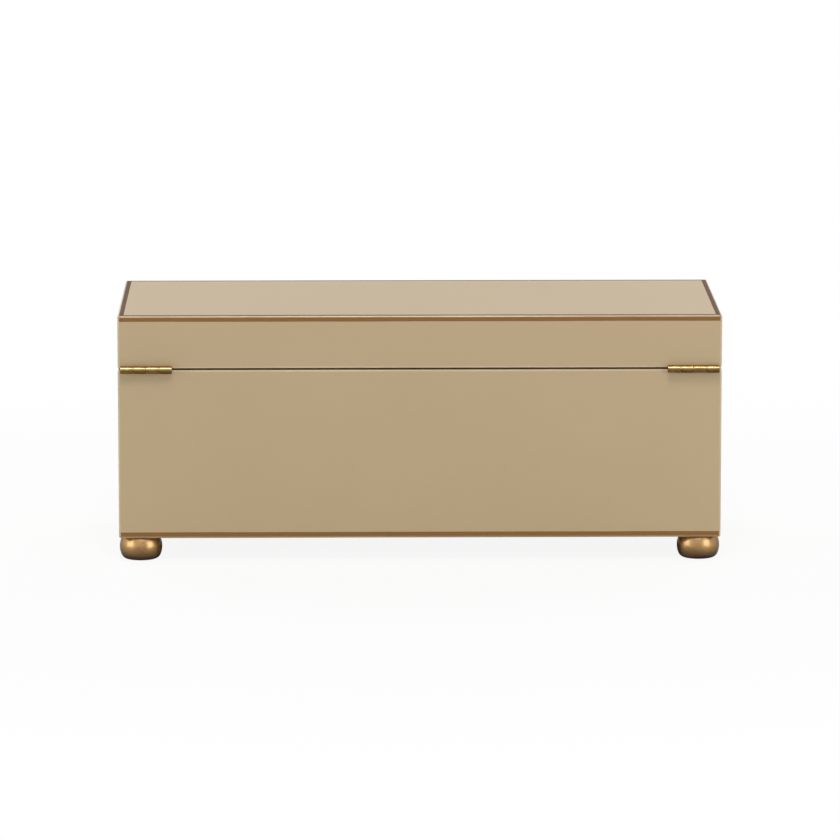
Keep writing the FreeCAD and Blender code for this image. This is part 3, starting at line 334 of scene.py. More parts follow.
def gilt_mask(tree, place, depth):
    """1 where the bronze paint is, with the soft limit of a brushed line."""
    inward = calculate(tree, "MINIMUM", depth["ends"], depth["faces"])
    lines = []
    for side, across, height in (("top", TOP_FRAME, TOP_LINE), ("underside", UNDER_LINE, BOTTOM_LINE)):
        on_level = calculate(tree, "DIVIDE", inward, across)
        on_upright = calculate(tree, "DIVIDE", depth[side], height)
        lines.append(calculate(tree, "MAXIMUM", on_level, on_upright))
    nearest = calculate(tree, "MINIMUM", *lines)
    wander = HAND_WANDER / TOP_LINE / 2
    hand = sloped(tree, noise(tree, place, HAND_PERIOD, 2.0), 0.3, 0.7, -wander, wander)
    limit = calculate(tree, "ADD", nearest, hand)
    brushed = sloped(tree, limit, 1 - LAP / TOP_LINE, 1 + LAP / TOP_LINE, 1.0, 0.0)

    from_corner = calculate(tree, "MAXIMUM", depth["ends"], depth["faces"])
    near_corner = calculate(tree, "LESS_THAN", from_corner, CORNER_LEFT)
    below_top = calculate(tree, "GREATER_THAN", depth["top"], CORNER_LEFT)
    lifted = calculate(tree, "MULTIPLY", near_corner, below_top)
    return calculate(tree, "MULTIPLY", brushed, inverted(tree, lifted))


print("gilt lines", in_mm(TOP_LINE, BOTTOM_LINE), "tall, in a frame", in_mm(TOP_FRAME), "wide")

# %% Mask the rubbed arrises and the bare wood
# the arrises are smoother, and paler as a painted highlight, this far from the corner
RUBBED_AND_HIGHLIGHTED_ARRIS = 1.1 * MM


def arris_mask(tree, depth):
    """1 on the rounded edges where two faces of the box meet, which are rubbed smoother and get a
    painted highlight.
    """
    inward = calculate(tree, "MINIMUM", depth["ends"], depth["faces"])
    nearest = calculate(tree, "MAXIMUM", depth["ends"], depth["faces"])
    for side in ("top", "underside", "rims"):
        nearest = calculate(tree, "MINIMUM", nearest, calculate(tree, "MAXIMUM", inward, depth[side]))
    return sloped(tree, nearest, RUBBED_AND_HIGHLIGHTED_ARRIS / 2, RUBBED_AND_HIGHLIGHTED_ARRIS, 1.0, 0.0)


def inside_mask(tree, place, low, high):
    """1 within a box, from its low to its high corner."""
    centred = add(tree, "ShaderNodeVectorMath", {0: place, 1: (low + high) / 2}, operation="SUBTRACT")
    size = add(tree, "ShaderNodeVectorMath", {0: centred.outputs[0]}, operation="ABSOLUTE")
    sockets = {0: size.outputs[0], 1: (high - low) / 2}
    beyond = add(tree, "ShaderNodeVectorMath", sockets, operation="SUBTRACT")
    x, y, z = add(tree, "ShaderNodeSeparateXYZ", {"Vector": beyond.outputs[0]}).outputs
    furthest = calculate(tree, "MAXIMUM", calculate(tree, "MAXIMUM", x, y), z)
    return calculate(tree, "LESS_THAN", furthest, 0.0)


print("arrises are rubbed for", in_mm(RUBBED_AND_HIGHLIGHTED_ARRIS), "from the corner")


# %% Colour the lacquer and the paint
PALE_TAUPE = "#BBA683"
DEEP_TAUPE = "#B7A27F"
# the paler taupe on the arrises is a painted highlight
PAINTED_HIGHLIGHT_TAUPE = "#E2D2B4"
PALE_BRONZE = "#8D673B"
DEEP_BRONZE = "#836034"
# the umber on the lid's top frame is painted shade: the same frame is bronze on the upright faces
UMBER_PAINTED_SHADE = "#5C422C"
UMBER_SHADE_DEPTH = 0.05 * MM  # the umber is whole down to here on the lid's arris
UMBER_SHADE_END = 0.4 * MM
CLOUD_SIZE = 60 * MM


def coat_colour(tree, place, depth, gilt, rubbed_with_painted_highlight, strokes):
    """Clouded taupe under streaked bronze and umber, the umber painted shade on the lid's top, and a
    paler painted highlight on the arrises.
    """
    cloud = noise(tree, place, CLOUD_SIZE, 3.0)
    taupe = mix_colour(tree, cloud, DEEP_TAUPE, PALE_TAUPE)
    bronze = mix_colour(tree, sloped(tree, strokes, 0.3, 0.7), DEEP_BRONZE, PALE_BRONZE)
    # painted shade: the frame on the lid's top turns from bronze to umber
    top_painted_shade = sloped(tree, depth["top"], UMBER_SHADE_DEPTH, UMBER_SHADE_END, 1.0, 0.0)
    paint = mix_colour(tree, top_painted_shade, bronze, UMBER_PAINTED_SHADE)
    coat = mix_colour(tree, gilt, taupe, paint)
    # a paler film on the arrises: a painted highlight
    painted_highlight_share = calculate(tree, "MULTIPLY", rubbed_with_painted_highlight, sloped(tree, cloud, 0.35, 0.65, 0.3, 0.5))
    return mix_colour(tree, painted_highlight_share, coat, PAINTED_HIGHLIGHT_TAUPE)


print("taupe from", DEEP_TAUPE, "to", PALE_TAUPE, "and rubbed arrises of", PAINTED_HIGHLIGHT_TAUPE)


# %% The lacquered boards' finish
ORANGE_PEEL = 1.6 * MM  # the ripple that sprayed lacquer keeps after rubbing
BRUSH_MARK = 0.35 * MM
SATIN_ROUGHNESS = 0.5
PAINT_ROUGHNESS = 0.88
RUBBED_ROUGHNESS = 0.3
PAINT_METAL = 0.1
RUBBED_PAINT_METAL = 0.3


def mix_value(tree, factor, first, second):
    """Mixes two values by a factor."""
    return add(tree, "ShaderNodeMix", {"Factor": factor, "A": first, "B": second}).outputs["Result"]


def lacquer(name, grain, board, bare_low, bare_high):
    """Sprayed taupe lacquer with painted lines outside, and clear beech inside the given box."""
    material, tree, place = new_material(name)
    depth = depths(tree, place)
    gilt = gilt_mask(tree, place, depth)
    bare = inside_mask(tree, place, bare_low, bare_high)
    coated = inverted(tree, bare)
    paint = calculate(tree, "MULTIPLY", gilt, coated)
    # the arrises are rubbed smoother and get a painted highlight
    rubbed_with_painted_highlight = calculate(tree, "MULTIPLY", arris_mask(tree, depth), coated)
    strokes = stretched_noise(tree, place, BRUSH_MARK, 30.0)

    wood, wood_roughness, _ = beech_figure(tree, place, grain, board)
    coat = coat_colour(tree, place, depth, gilt, rubbed_with_painted_highlight, strokes)
    shine = sloped(tree, rubbed_with_painted_highlight, 0.0, 1.0, PAINT_METAL, RUBBED_PAINT_METAL)
    flat = sloped(tree, gilt, 0.0, 1.0, SATIN_ROUGHNESS, PAINT_ROUGHNESS)
    coat_roughness = mix_value(tree, rubbed_with_painted_highlight, flat, RUBBED_ROUGHNESS)

    film = relief(tree, noise(tree, place, ORANGE_PEEL, 1.0), 0.12, 0.02 * MM)
    lines = relief(tree, gilt, 0.5, 0.03 * MM, under=film)
    marks = relief(tree, calculate(tree, "MULTIPLY", strokes, paint), 0.4, 0.03 * MM, under=lines)
    finish_material(tree, {
        "Base Color": mix_colour(tree, bare, coat, wood),
        "Metallic": calculate(tree, "MULTIPLY", paint, shine),
        "Roughness": mix_value(tree, bare, coat_roughness, wood_roughness),
        "Specular IOR Level": 0.35,
        "Normal": marks,
    })
    return material


print("lacquer: satin at", SATIN_ROUGHNESS, "and", RUBBED_ROUGHNESS, "where it is rubbed")

# %% [markdown]
# ## Brass
#
# The feet and knobs are turned from brass bar, antiqued in a bath that browns it, rubbed back and given
# a clear coat. The bath's brown film is kept low on the feet and next to the knobs' plates, and there it
# is made much darker than a film would be, as painted shade. The hinges are pressed from brass sheet and
# polished, with a brown painted shade on the undersides of their barrels, and their machined screws are
# a little brighter. All of these are metals, so nearly all of their look is what they reflect, and the
# base colour is that of the reflection. Their edge tint is darker than new metal's, as painted shade
# that darkens their rims.

# %% Antiqued bar
TOOL_MARK = 0.25 * MM
FILM_PATCH = 5 * MM
SPECK_SIZE = 0.7 * MM
# the edge of the brown painted shade wanders this far with the film's patches
SHADE_EDGE_WANDER = 0.6 * MM


def antique_brass(name, turned_axis, shade_darkest_at, bright):
    """Antiqued brass, with brown film and painted shade at one place along its turned axis and none at
    the other.
    """
    material, tree, place = new_material(name)
    film = noise(tree, place, FILM_PATCH, 4.0)
    specks = noise(tree, place, SPECK_SIZE, 2.0)
    along = add(tree, "ShaderNodeSeparateXYZ", {"Vector": place}).outputs[turned_axis]
    uneven = sloped(tree, film, 0.3, 0.7, -SHADE_EDGE_WANDER, SHADE_EDGE_WANDER)
    # brown film deepened into painted shade: darkest low on the feet and next to the knobs' plates
    brown = sloped(tree, calculate(tree, "ADD", along, uneven), shade_darkest_at, bright, 1.0, 0.0)
    colour = mix_colour(tree, sloped(tree, film, 0.35, 0.7), "#B08C58", "#977346")
    colour = mix_colour(tree, sloped(tree, specks, 0.62, 0.75, 0.0, 0.5), colour, "#6B4A26")
    colour = mix_colour(tree, brown, colour, "#422A12")
    sockets = {"Vector": place, "Scale": WAVE_PERIOD / TOOL_MARK, "Distortion": 1.0}
    rings = add(tree, "ShaderNodeTexWave", sockets, wave_type="BANDS", bands_direction=turned_axis)
    finish_material(tree, {
        "Base Color": colour,
        "Metallic": 1.0,
        "Roughness": sloped(tree, brown, 0.0, 1.0, 0.34, 0.5),
        # the dark edge tint is painted shade that darkens the rims
        "Specular Tint": linear("#6E5A44"),
        "Coat Weight": 0.6,
        "Coat Roughness": 0.16,
        "Normal": relief(tree, rings.outputs["Fac"], 0.10, 0.01 * MM),
    })
    return material


print("bar: turning marks", in_mm(TOOL_MARK), "apart, and brown film in patches of", in_mm(FILM_PATCH))

# %% Polished sheet and screws
BUFF_MARK = 0.3 * MM
TARNISH_PATCH = 2.5 * MM
# the brown on the barrels' undersides is painted shade
UNDERSIDE_PAINTED_SHADE = 0.75
UNDERSIDE_SHADE_FADE = 0.4 * MM  # the brown fades out over this height above the barrel's middle


def polished_brass(name, light, tarnished):
    """Brass buffed lengthways, in a light and a tarnished tone, with brown painted shade on the barrels'
    undersides.
    """
    material, tree, place = new_material(name)
    buffed = stretched_noise(tree, place, BUFF_MARK, 14.0)
    tarnish = noise(tree, place, TARNISH_PATCH, 3.0)
    _, y, z = add(tree, "ShaderNodeSeparateXYZ", {"Vector": place}).outputs
    # painted shade: brown below the barrels' middle, on the barrels that stand out behind the back
    underside_shade = sloped(tree, z, GAP_Z, GAP_Z + UNDERSIDE_SHADE_FADE, UNDERSIDE_PAINTED_SHADE, 0.0)
    brown = calculate(tree, "MULTIPLY", underside_shade, calculate(tree, "GREATER_THAN", y, BACK_Y))
    colour = mix_colour(tree, sloped(tree, tarnish, 0.4, 0.8), light, tarnished)
    finish_material(tree, {
        "Base Color": mix_colour(tree, brown, colour, "#5C3D1A"),
        "Metallic": 1.0,
        "Roughness": sloped(tree, buffed, 0.3, 0.7, 0.22, 0.27),
        # the dark edge tint is painted shade that darkens the rims
        "Specular Tint": linear("#8A6C44"),
        "Normal": relief(tree, buffed, 0.06, 0.02 * MM),
    })
    return material


print("sheet: buffing marks", in_mm(BUFF_MARK), "wide, and tarnish in patches of", in_mm(TARNISH_PATCH))

# %% [markdown]
# ## Steel and felt
#
# The feet's studs and the knobs' screws are zinc-plated steel, a little grey and mottled. The two dots
# that the lid comes down on are pressed wool felt: no shine at all, short fibres every way, and a faint
# fuzz that catches light at its edge, which the sheen gives.

# %% Steel and felt finishes
SPANGLE_SIZE = 0.8 * MM
FIBRE_SIZE = 0.25 * MM


def zinc_steel():
    """Zinc plate on steel, with the faint spangle that plating leaves."""
    material, tree, place = new_material("zinc_plated_steel")
    spangle = add(tree, "ShaderNodeTexVoronoi", {"Vector": place, "Scale": 1 / SPANGLE_SIZE})
    tone = add(tree, "ShaderNodeSeparateColor", {"Color": spangle.outputs["Color"]}).outputs[0]
    colour = mix_colour(tree, tone, "#B4B6B8", "#A2A4A8")
    roughness = sloped(tree, tone, 0.0, 1.0, 0.28, 0.38)
    finish_material(tree, {"Base Color": colour, "Metallic": 1.0, "Roughness": roughness})
    return material


def wool_felt():
    """Pressed wool, dark brown."""
    material, tree, place = new_material("pressed_wool_felt")
    fibres = noise(tree, place, FIBRE_SIZE, 4.0, distortion=1.5)
    colour = mix_colour(tree, sloped(tree, fibres, 0.35, 0.65), "#2E2722", "#4C4038")
    fuzz = relief(tree, fibres, 0.8, 0.08 * MM)
    finish_material(tree, {"Base Color": colour, "Roughness": 0.95, "Sheen Weight": 0.4, "Normal": fuzz})
    return material


print("zinc spangles", in_mm(SPANGLE_SIZE), "across, and felt fibres", in_mm(FIBRE_SIZE), "apart")

# %% Make the metals and the felt
FOOT_TOP_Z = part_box("foot_back_left")[1].z
KNOB_TIP_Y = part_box("drawer_left_knob")[0].y
# the feet are darkened towards the bottom, and the knobs next to their plates, with painted shade
FOOT_SHADE_DARKEST_TO = 0.1  # of a foot's height
FOOT_SHADE_GONE_FROM = 0.55
KNOB_SHADE_GONE_FROM = 0.45  # of a knob's reach

brass_sheet = polished_brass("polished_sheet_brass", "#AD9263", "#876A3A")
screw_brass = polished_brass("machined_screw_brass", "#CBA56C", "#A98450")
foot_brass = antique_brass("antique_turned_brass", "Z", FOOT_SHADE_DARKEST_TO * FOOT_TOP_Z,
                           FOOT_SHADE_GONE_FROM * FOOT_TOP_Z)
knob_brass = antique_brass("antique_turned_knob_brass", "Y", FRONT_Y,
                           FRONT_Y + KNOB_SHADE_GONE_FROM * (KNOB_TIP_Y - FRONT_Y))
steel = zinc_steel()
felt = wool_felt()
print("the feet are bright from", in_mm(FOOT_SHADE_GONE_FROM * FOOT_TOP_Z), "up")

# %% [markdown]
# ## Finishing the solid pieces
#
# A solid piece keeps its own shape, so it only needs its material. The beech pieces also get a fine
# softened edge, because a plane and a rub of paper take the sharpness off every real arris. Their meshes
# are loose triangles, so a Weld and a planar Decimate come first, and the Bevel then works on clean
# edges.


# %% Lacquer the boards
def give(node, material):
    """Sets the only material of a solid piece."""
    mesh_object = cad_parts[node]
    mesh_object.data.materials.clear()
    mesh_object.data.materials.append(material)
    return mesh_object


LACQUERED = {  # each board, and the way its grain runs
    "case_back": "x", "lid_back": "x", "case_front": "x", "lid_front": "x",
    "case_left_side": "y", "case_right_side": "y", "lid_left_side": "y", "lid_right_side": "y",
    "lid_panel": "x", "case_base": "x",
}
DRAWER_INNER_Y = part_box("drawer_front")[1].y
margin = Vector((LAP, LAP, LAP))
for board, (name, grain) in enumerate(LACQUERED.items(), start=1):
    give(name, lacquer(f"lacquered_{name}", grain, board, CAVITY_LOW - margin, CAVITY_HIGH + margin))
behind_front = Vector((-1, DRAWER_INNER_Y - LAP, -1)), Vector((1, 1, 1))
give("drawer_front", lacquer("lacquered_drawer_front", "x", len(LACQUERED) + 1, *behind_front))
give("foot_studs", steel)
print(len(LACQUERED) + 1, "lacquered boards")

# %% Finish the beech boards
EASED = 0.3 * MM
TOUCHING = 0.001 * MM  # points nearer than this are one point
FIRST_BEECH_BOARD = 20  # numbers only tell one board's figure from another's
BEECH_BOARDS = (
    ("x", ("well_floor", "row_divider", "trough_divider",
           "drawer_back", "drawer_bottom", "drawer_stops")),
    ("y", ("drawer_left_side", "drawer_right_side", "drawer_left_divider", "drawer_right_divider")),
    ("y", [f"cross_divider_{i + 1}" for i in range(5)]),
)


def ease_edges(mesh_object):
    """Softens a solid piece's edges without touching its own mesh."""
    mesh_object.modifiers.new("weld", "WELD").merge_threshold = TOUCHING
    flat = mesh_object.modifiers.new("flat faces", "DECIMATE")
    flat.decimate_type = "DISSOLVE"
    flat.angle_limit = math.radians(1)
    bevel = mesh_object.modifiers.new("eased edges", "BEVEL")
    bevel.width = EASED
    bevel.segments = 2
    bevel.limit_method = "ANGLE"
    bevel.angle_limit = math.radians(40)
    bevel.harden_normals = True


for grain, names in BEECH_BOARDS:
    for board, name in enumerate(names, start=FIRST_BEECH_BOARD):
        ease_edges(give(name, beech(grain, board)))
print(sum(len(names) for _, names in BEECH_BOARDS), "beech boards, eased by", in_mm(EASED))

# %% [markdown]
# ## Making pieces
#
# The small pieces are remade as meshes. Every one of them ends the same way: its doubled points are
# joined, its faces are turned outwards, it is shaded smooth up to its sharp edges, and it rides on the
# body that its solid piece rides on.

# %% Helpers for pieces
SMOOTH_ANGLE = math.radians(35)


def middle(node):
    """The middle of a solid piece's box."""
    low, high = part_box(node)
    return (low + high) / 2


def soften(shape, width, segments=2, sharper_than=50, among=None):
    """Rounds a shape's outward edges, all of them or those that a test picks, and counts them."""
    limit = math.radians(sharper_than)
    edges = [edge for edge in shape.edges if len(edge.link_faces) == 2 and edge.is_convex
             and edge.calc_face_angle() > limit and (among is None or among(edge))]
    bmesh.ops.bevel(shape, geom=edges, offset=width, affect="EDGES", segments=segments, profile=0.5,
                    material=-1, clamp_overlap=True)
    return len(edges)


def make_object(name, shape):
    """Puts a shape in the scene as an object, and frees the shape."""
    mesh = bpy.data.meshes.new(name)
    shape.to_mesh(mesh)
    shape.free()
    made = bpy.data.objects.new(name, mesh)
    bpy.context.scene.collection.objects.link(made)
    return made


def make_piece(name, shape, material, body, solid):
    """Makes a shape a piece that rides on a body and stands for a solid piece."""
    bmesh.ops.remove_doubles(shape, verts=shape.verts, dist=TOUCHING)
    bmesh.ops.recalc_face_normals(shape, faces=shape.faces)
    piece = make_object(name, shape)
    piece.data.materials.append(material)
    piece.data.shade_smooth()
    piece.data.set_sharp_from_angle(angle=SMOOTH_ANGLE)
    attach(piece, body)
    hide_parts(solid)
    print(name, len(piece.data.polygons), "faces")
    return piece


# %% [markdown]
# ## Turned feet
#
# A foot is a ball of brass turned in a lathe, cut flat to stand on and to meet the box, with its lower
# edge rounded by a smaller arc. A scaled sphere would come close, but it can't have flats or a second
# radius. So half of the outline is drawn as the lathe tool would follow it, with each arc made by
# spinning its first point, and the outline is then spun about the foot's axis.

# %% Draw and spin an outline
STEPS_ROUND = 72


def carry_line(shape, start, x, z):
    """Carries an outline on in a straight line, and returns its new end."""
    end = shape.verts.new((x, 0, z))
    shape.edges.new((start, end))
    return end


def carry_arc(shape, start, centre, angle, steps):
    """Carries an outline on round a centre, by degrees anticlockwise as seen from the front."""
    spun = bmesh.ops.spin(shape, geom=[start], cent=(centre[0], 0, centre[1]), axis=(0, -1, 0),
                          angle=math.radians(angle), steps=steps, use_merge=False)
    return next(item for item in spun["geom_last"] if isinstance(item, bmesh.types.BMVert))


def turn_outline(shape):
    """Spins an outline in a full turn about the Z axis."""
    outline = shape.verts[:] + shape.edges[:]
    bmesh.ops.spin(shape, geom=outline, cent=(0, 0, 0), axis=(0, 0, 1), angle=math.tau,
                   steps=STEPS_ROUND, use_merge=True)
    bmesh.ops.remove_doubles(shape, verts=shape.verts, dist=TOUCHING)
    bmesh.ops.recalc_face_normals(shape, faces=shape.faces)


print("outlines are spun in", STEPS_ROUND, "steps of", 360 // STEPS_ROUND, "degrees")

# %% Turn the feet
FOOT_EQUATOR = 6.3 * MM
FOOT_LOWER_RADIUS = 3.4 * MM
FOOT_SEAT_ROUND = 0.35 * MM


def turned_foot(radius, height):
    """A ball foot that stands on the origin."""
    flat = math.sqrt((radius - FOOT_LOWER_RADIUS) ** 2 - (FOOT_EQUATOR - FOOT_LOWER_RADIUS) ** 2)
    meet = math.degrees(math.atan2(FOOT_LOWER_RADIUS - FOOT_EQUATOR, flat))
    seat = math.degrees(math.asin((height - FOOT_EQUATOR) / radius))
    shape = bmesh.new()
    end = carry_line(shape, shape.verts.new((0, 0, 0)), flat, 0)
    end = carry_arc(shape, end, (flat, FOOT_LOWER_RADIUS), 90 + meet, steps=10)
    end = carry_arc(shape, end, (0, FOOT_EQUATOR), seat - meet, steps=20)
    carry_line(shape, end, 0, height)
    turn_outline(shape)
    soften(shape, FOOT_SEAT_ROUND)
    return shape


for name in ("foot_front_left", "foot_front_right", "foot_back_left", "foot_back_right"):
    low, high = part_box(name)
    foot = turned_foot((high.x - low.x) / 2, high.z - low.z)
    bmesh.ops.translate(foot, verts=foot.verts, vec=(middle(name).x, middle(name).y, low.z))
    make_piece(f"turned_{name}", foot, foot_brass, "case", name)

# %% [markdown]
# ## Turned knobs
#
# The knobs match the feet: a ball on a slim stem that spreads into a round plate against the drawer. On
# a turned knob the stem runs into the plate in a small hollow curve, because a tool has a round nose,
# and the plate's rim is rounded so that it doesn't catch a finger. Both are in the outline.

# %% Turn the knobs
KNOB_STEM_RADIUS = 2.6 * MM
KNOB_PLATE_RADIUS = 4.0 * MM
KNOB_PLATE_THICKNESS = 1.0 * MM
KNOB_HOLLOW_RADIUS = 0.9 * MM
KNOB_EDGE_ROUND = 0.25 * MM
TO_THE_FRONT = Matrix.Rotation(math.radians(90), 4, "X")


def turned_knob(radius, reach):
    """A ball knob that stands up from the origin."""
    centre = reach - radius
    join = -math.acos(KNOB_STEM_RADIUS / radius)
    shape = bmesh.new()
    end = carry_line(shape, shape.verts.new((0, 0, 0)), KNOB_PLATE_RADIUS, 0)
    end = carry_line(shape, end, KNOB_PLATE_RADIUS, KNOB_PLATE_THICKNESS)
    hollow = (KNOB_STEM_RADIUS + KNOB_HOLLOW_RADIUS, KNOB_PLATE_THICKNESS + KNOB_HOLLOW_RADIUS)
    end = carry_line(shape, end, hollow[0], KNOB_PLATE_THICKNESS)
    end = carry_arc(shape, end, hollow, -90, steps=6)
    end = carry_line(shape, end, KNOB_STEM_RADIUS, centre + radius * math.sin(join))
    carry_arc(shape, end, (0, centre), 90 - math.degrees(join), steps=24)
    turn_outline(shape)
    soften(shape, KNOB_EDGE_ROUND)
    return shape


for side in ("left", "right"):
    node = f"drawer_{side}_knob"
    low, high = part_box(node)
    knob = turned_knob((high.x - low.x) / 2, high.y - low.y)
    knob.transform(Matrix.Translation((middle(node).x, high.y, middle(node).z)) @ TO_THE_FRONT)
    make_piece(f"turned_{side}_knob", knob, knob_brass, "drawer", node)

# %% [markdown]
# ## Screws
#
# Small brass screws with sunk, slotted heads hold the hinges, and two pan-head screws come through the
# drawer front into the knobs. A screw is turned like a foot. Its thread is drawn as rings, since nearly
# all of it is in the wood. The slot is sawn across the finished head, so it is cut out here with a thin
# block. A hand never stops two slots at the same angle, so each screw gets its own turn.

# %% Turn the screws
THREAD_PITCH = 0.8 * MM
THREAD_DEPTH = 0.22 * MM
POINT_LENGTH = 2.5  # of the shank's radius
HINGE_SHANK_RADIUS = 0.85 * MM
HINGE_HEAD_DEPTH = 0.85 * MM
HEAD_CHAMFER = 0.15 * MM  # leaves a fine groove round a sunk head
KNOB_SHANK_RADIUS = 1.5 * MM
KNOB_HEAD_DOME = 0.9 * MM


def carry_shank(shape, radius, length, under):
    """Draws a screw's outline from its point to the underside of its head, and returns its end."""
    point_top = POINT_LENGTH * radius - length
    end = carry_line(shape, shape.verts.new((0, 0, -length)), radius - THREAD_DEPTH, point_top)
    for i in range(int((under - 2 * THREAD_PITCH - point_top) / THREAD_PITCH)):
        root = point_top + i * THREAD_PITCH
        end = carry_line(shape, end, radius, root + 0.5 * THREAD_PITCH)
        end = carry_line(shape, end, radius - THREAD_DEPTH, root + THREAD_PITCH)
    end = carry_line(shape, end, radius, under - 1.5 * THREAD_PITCH)
    return carry_line(shape, end, radius, under)


def sunk_screw(head_radius, length):
    """A hinge screw whose flat head's top is level with the origin."""
    shape = bmesh.new()
    end = carry_shank(shape, HINGE_SHANK_RADIUS, length, -HINGE_HEAD_DEPTH)
    end = carry_line(shape, end, head_radius, -HEAD_CHAMFER)
    end = carry_line(shape, end, head_radius - HEAD_CHAMFER, 0)
    carry_line(shape, end, 0, 0)
    turn_outline(shape)
    return shape


def pan_screw(head_radius, length, head_height):
    """A knob screw whose domed head stands on the origin."""
    shape = bmesh.new()
    end = carry_shank(shape, KNOB_SHANK_RADIUS, length, 0)
    end = carry_line(shape, end, head_radius, 0)
    end = carry_line(shape, end, head_radius, head_height - KNOB_HEAD_DOME)
    dome_radius = (head_radius ** 2 + KNOB_HEAD_DOME ** 2) / (2 * KNOB_HEAD_DOME)
    sweep = math.degrees(math.asin(head_radius / dome_radius))
    carry_arc(shape, end, (0, head_height - dome_radius), sweep, steps=8)
    turn_outline(shape)
    return shape


print("threads", in_mm(THREAD_DEPTH), "deep, with a crest every", in_mm(THREAD_PITCH))

# %% Saw a slot across a head
SLOT_WIDTH = 0.17  # of the head's width


def cut_slot(shape, head_radius, top, depth, turn):
    """Saws a slot across a head, turned by degrees, and returns the slotted shape."""
    saw = bmesh.new()
    bmesh.ops.create_cube(saw, size=1)
    bmesh.ops.scale(saw, verts=saw.verts, vec=(3 * head_radius, 2 * head_radius * SLOT_WIDTH, 2 * depth))
    bmesh.ops.rotate(saw, verts=saw.verts, matrix=Matrix.Rotation(math.radians(turn), 3, "Z"))
    bmesh.ops.translate(saw, verts=saw.verts, vec=(0, 0, top))
    blank, block = make_object("screw blank", shape), make_object("saw", saw)
    cut = blank.modifiers.new("slot", "BOOLEAN")
    cut.object = block
    cut.solver = "EXACT"
    slotted = bpy.data.meshes.new_from_object(blank.evaluated_get(bpy.context.evaluated_depsgraph_get()))
    screw = bmesh.new()
    screw.from_mesh(slotted)
    for mesh in (blank.data, block.data, slotted):
        bpy.data.meshes.remove(mesh)
    return screw


def add_copy(together, shape, place):
    """Adds a shape to a mesh of several, moved and turned to its place."""
    mesh = bpy.data.meshes.new("copy")
    shape.to_mesh(mesh)
    shape.free()
    mesh.transform(place)
    together.from_mesh(mesh)
    bpy.data.meshes.remove(mesh)


print("slots are", f"{SLOT_WIDTH:.0%}", "of a head's width")

# %% Drive the hinges' screws
HINGE_SCREW_SPACING = 15 * MM
HINGE_SLOT_DEPTH = 0.4 * MM
SLOT_TURNS = {"case": (20, 74, 131, 8), "lid": (101, 47, 163, 88)}


def hinge_screws(body):
    """The four screws that hold both hinges to one body: down into the case, or up into the lid."""
    solid = f"hinge_{body}_screws"
    low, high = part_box(solid)
    head_radius = (high.y - low.y) / 2
    head_z = low.z if body == "lid" else high.z
    flip = Matrix.Rotation(math.pi if body == "lid" else 0, 4, "X")
    across = [middle(f"{side}_hinge_case_leaf").x + sign * HINGE_SCREW_SPACING / 2
              for side in ("left", "right") for sign in (-1, 1)]
    together = bmesh.new()
    for x, turn in zip(across, SLOT_TURNS[body]):
        screw = cut_slot(sunk_screw(head_radius, high.z - low.z), head_radius, 0, HINGE_SLOT_DEPTH, turn)
        add_copy(together, screw, Matrix.Translation((x, middle(solid).y, head_z)) @ flip)
    return together


for body in ("case", "lid"):
    make_piece(f"slotted_hinge_{body}_screws", hinge_screws(body), screw_brass, body,
               f"hinge_{body}_screws")

# %% Drive the knobs' screws
KNOB_SLOT_DEPTH = 1.1 * MM
KNOB_SLOT_TURNS = {"left": 35, "right": 118}
TO_THE_BACK = Matrix.Rotation(math.radians(-90), 4, "X")

low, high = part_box("knob_screws")
head_radius = (high.z - low.z) / 2
head_height = high.y - DRAWER_INNER_Y
knob_screws = bmesh.new()
for side, turn in KNOB_SLOT_TURNS.items():
    screw = pan_screw(head_radius, DRAWER_INNER_Y - low.y, head_height)
    screw = cut_slot(screw, head_radius, head_height, KNOB_SLOT_DEPTH, turn)
    at = Matrix.Translation((middle(f"drawer_{side}_knob").x, DRAWER_INNER_Y, middle("knob_screws").z))
    add_copy(knob_screws, screw, at @ TO_THE_BACK)
make_piece("slotted_knob_screws", knob_screws, steel, "drawer", "knob_screws")

# %% [markdown]
# ## Hinges
#
# Each butt hinge is two pressed leaves whose edges are rolled into knuckles round a pin. The solid
# leaves already have the rolled knuckles, the sunk screw holes and the heels that stop the lid. What
# they lack is the rounding that pressing and tumbling give: a clear softening at each knuckle's end,
# which is what makes four knuckles show as four, and a fine one on every other edge. So a copy of each
# leaf's mesh is joined up and its edges are bevelled, the knuckle ends first.

# %% Soften the hinges' leaves
KNUCKLE_END_ROUND = 0.38 * MM
LEAF_EDGE_ROUND = 0.10 * MM


def joined_copy(node):
    """A solid piece's mesh as one joined surface with whole flat faces."""
    shape = bmesh.new()
    shape.from_mesh(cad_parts[node].data)
    bmesh.ops.remove_doubles(shape, verts=shape.verts, dist=TOUCHING)
    bmesh.ops.dissolve_limit(shape, angle_limit=math.radians(0.5), verts=shape.verts, edges=shape.edges)
    return shape


def softened_leaf(node, pin_middle, knuckle_radius):
    """A copy of a leaf with its knuckles' ends rounded clearly and its other edges a little."""
    def on_knuckle_end(edge):
        """True on the outer rim of a knuckle's end face."""
        first, last = (vert.co - pin_middle for vert in edge.verts)
        flat = abs(first.x - last.x) < 0.01 * MM
        return flat and all(abs(point.yz.length - knuckle_radius) < 0.1 * MM for point in (first, last))

    leaf = joined_copy(node)
    ends = soften(leaf, KNUCKLE_END_ROUND, segments=3, among=on_knuckle_end)
    rest = soften(leaf, LEAF_EDGE_ROUND, segments=2, sharper_than=60)
    print(node, "has", ends, "knuckle-end edges and", rest, "others rounded")
    return leaf


print("knuckle ends are rounded by", in_mm(KNUCKLE_END_ROUND), "and the rest by", in_mm(LEAF_EDGE_ROUND))

# %% Dome a hinge's pin
PIN_END_ROUND = 0.4 * MM


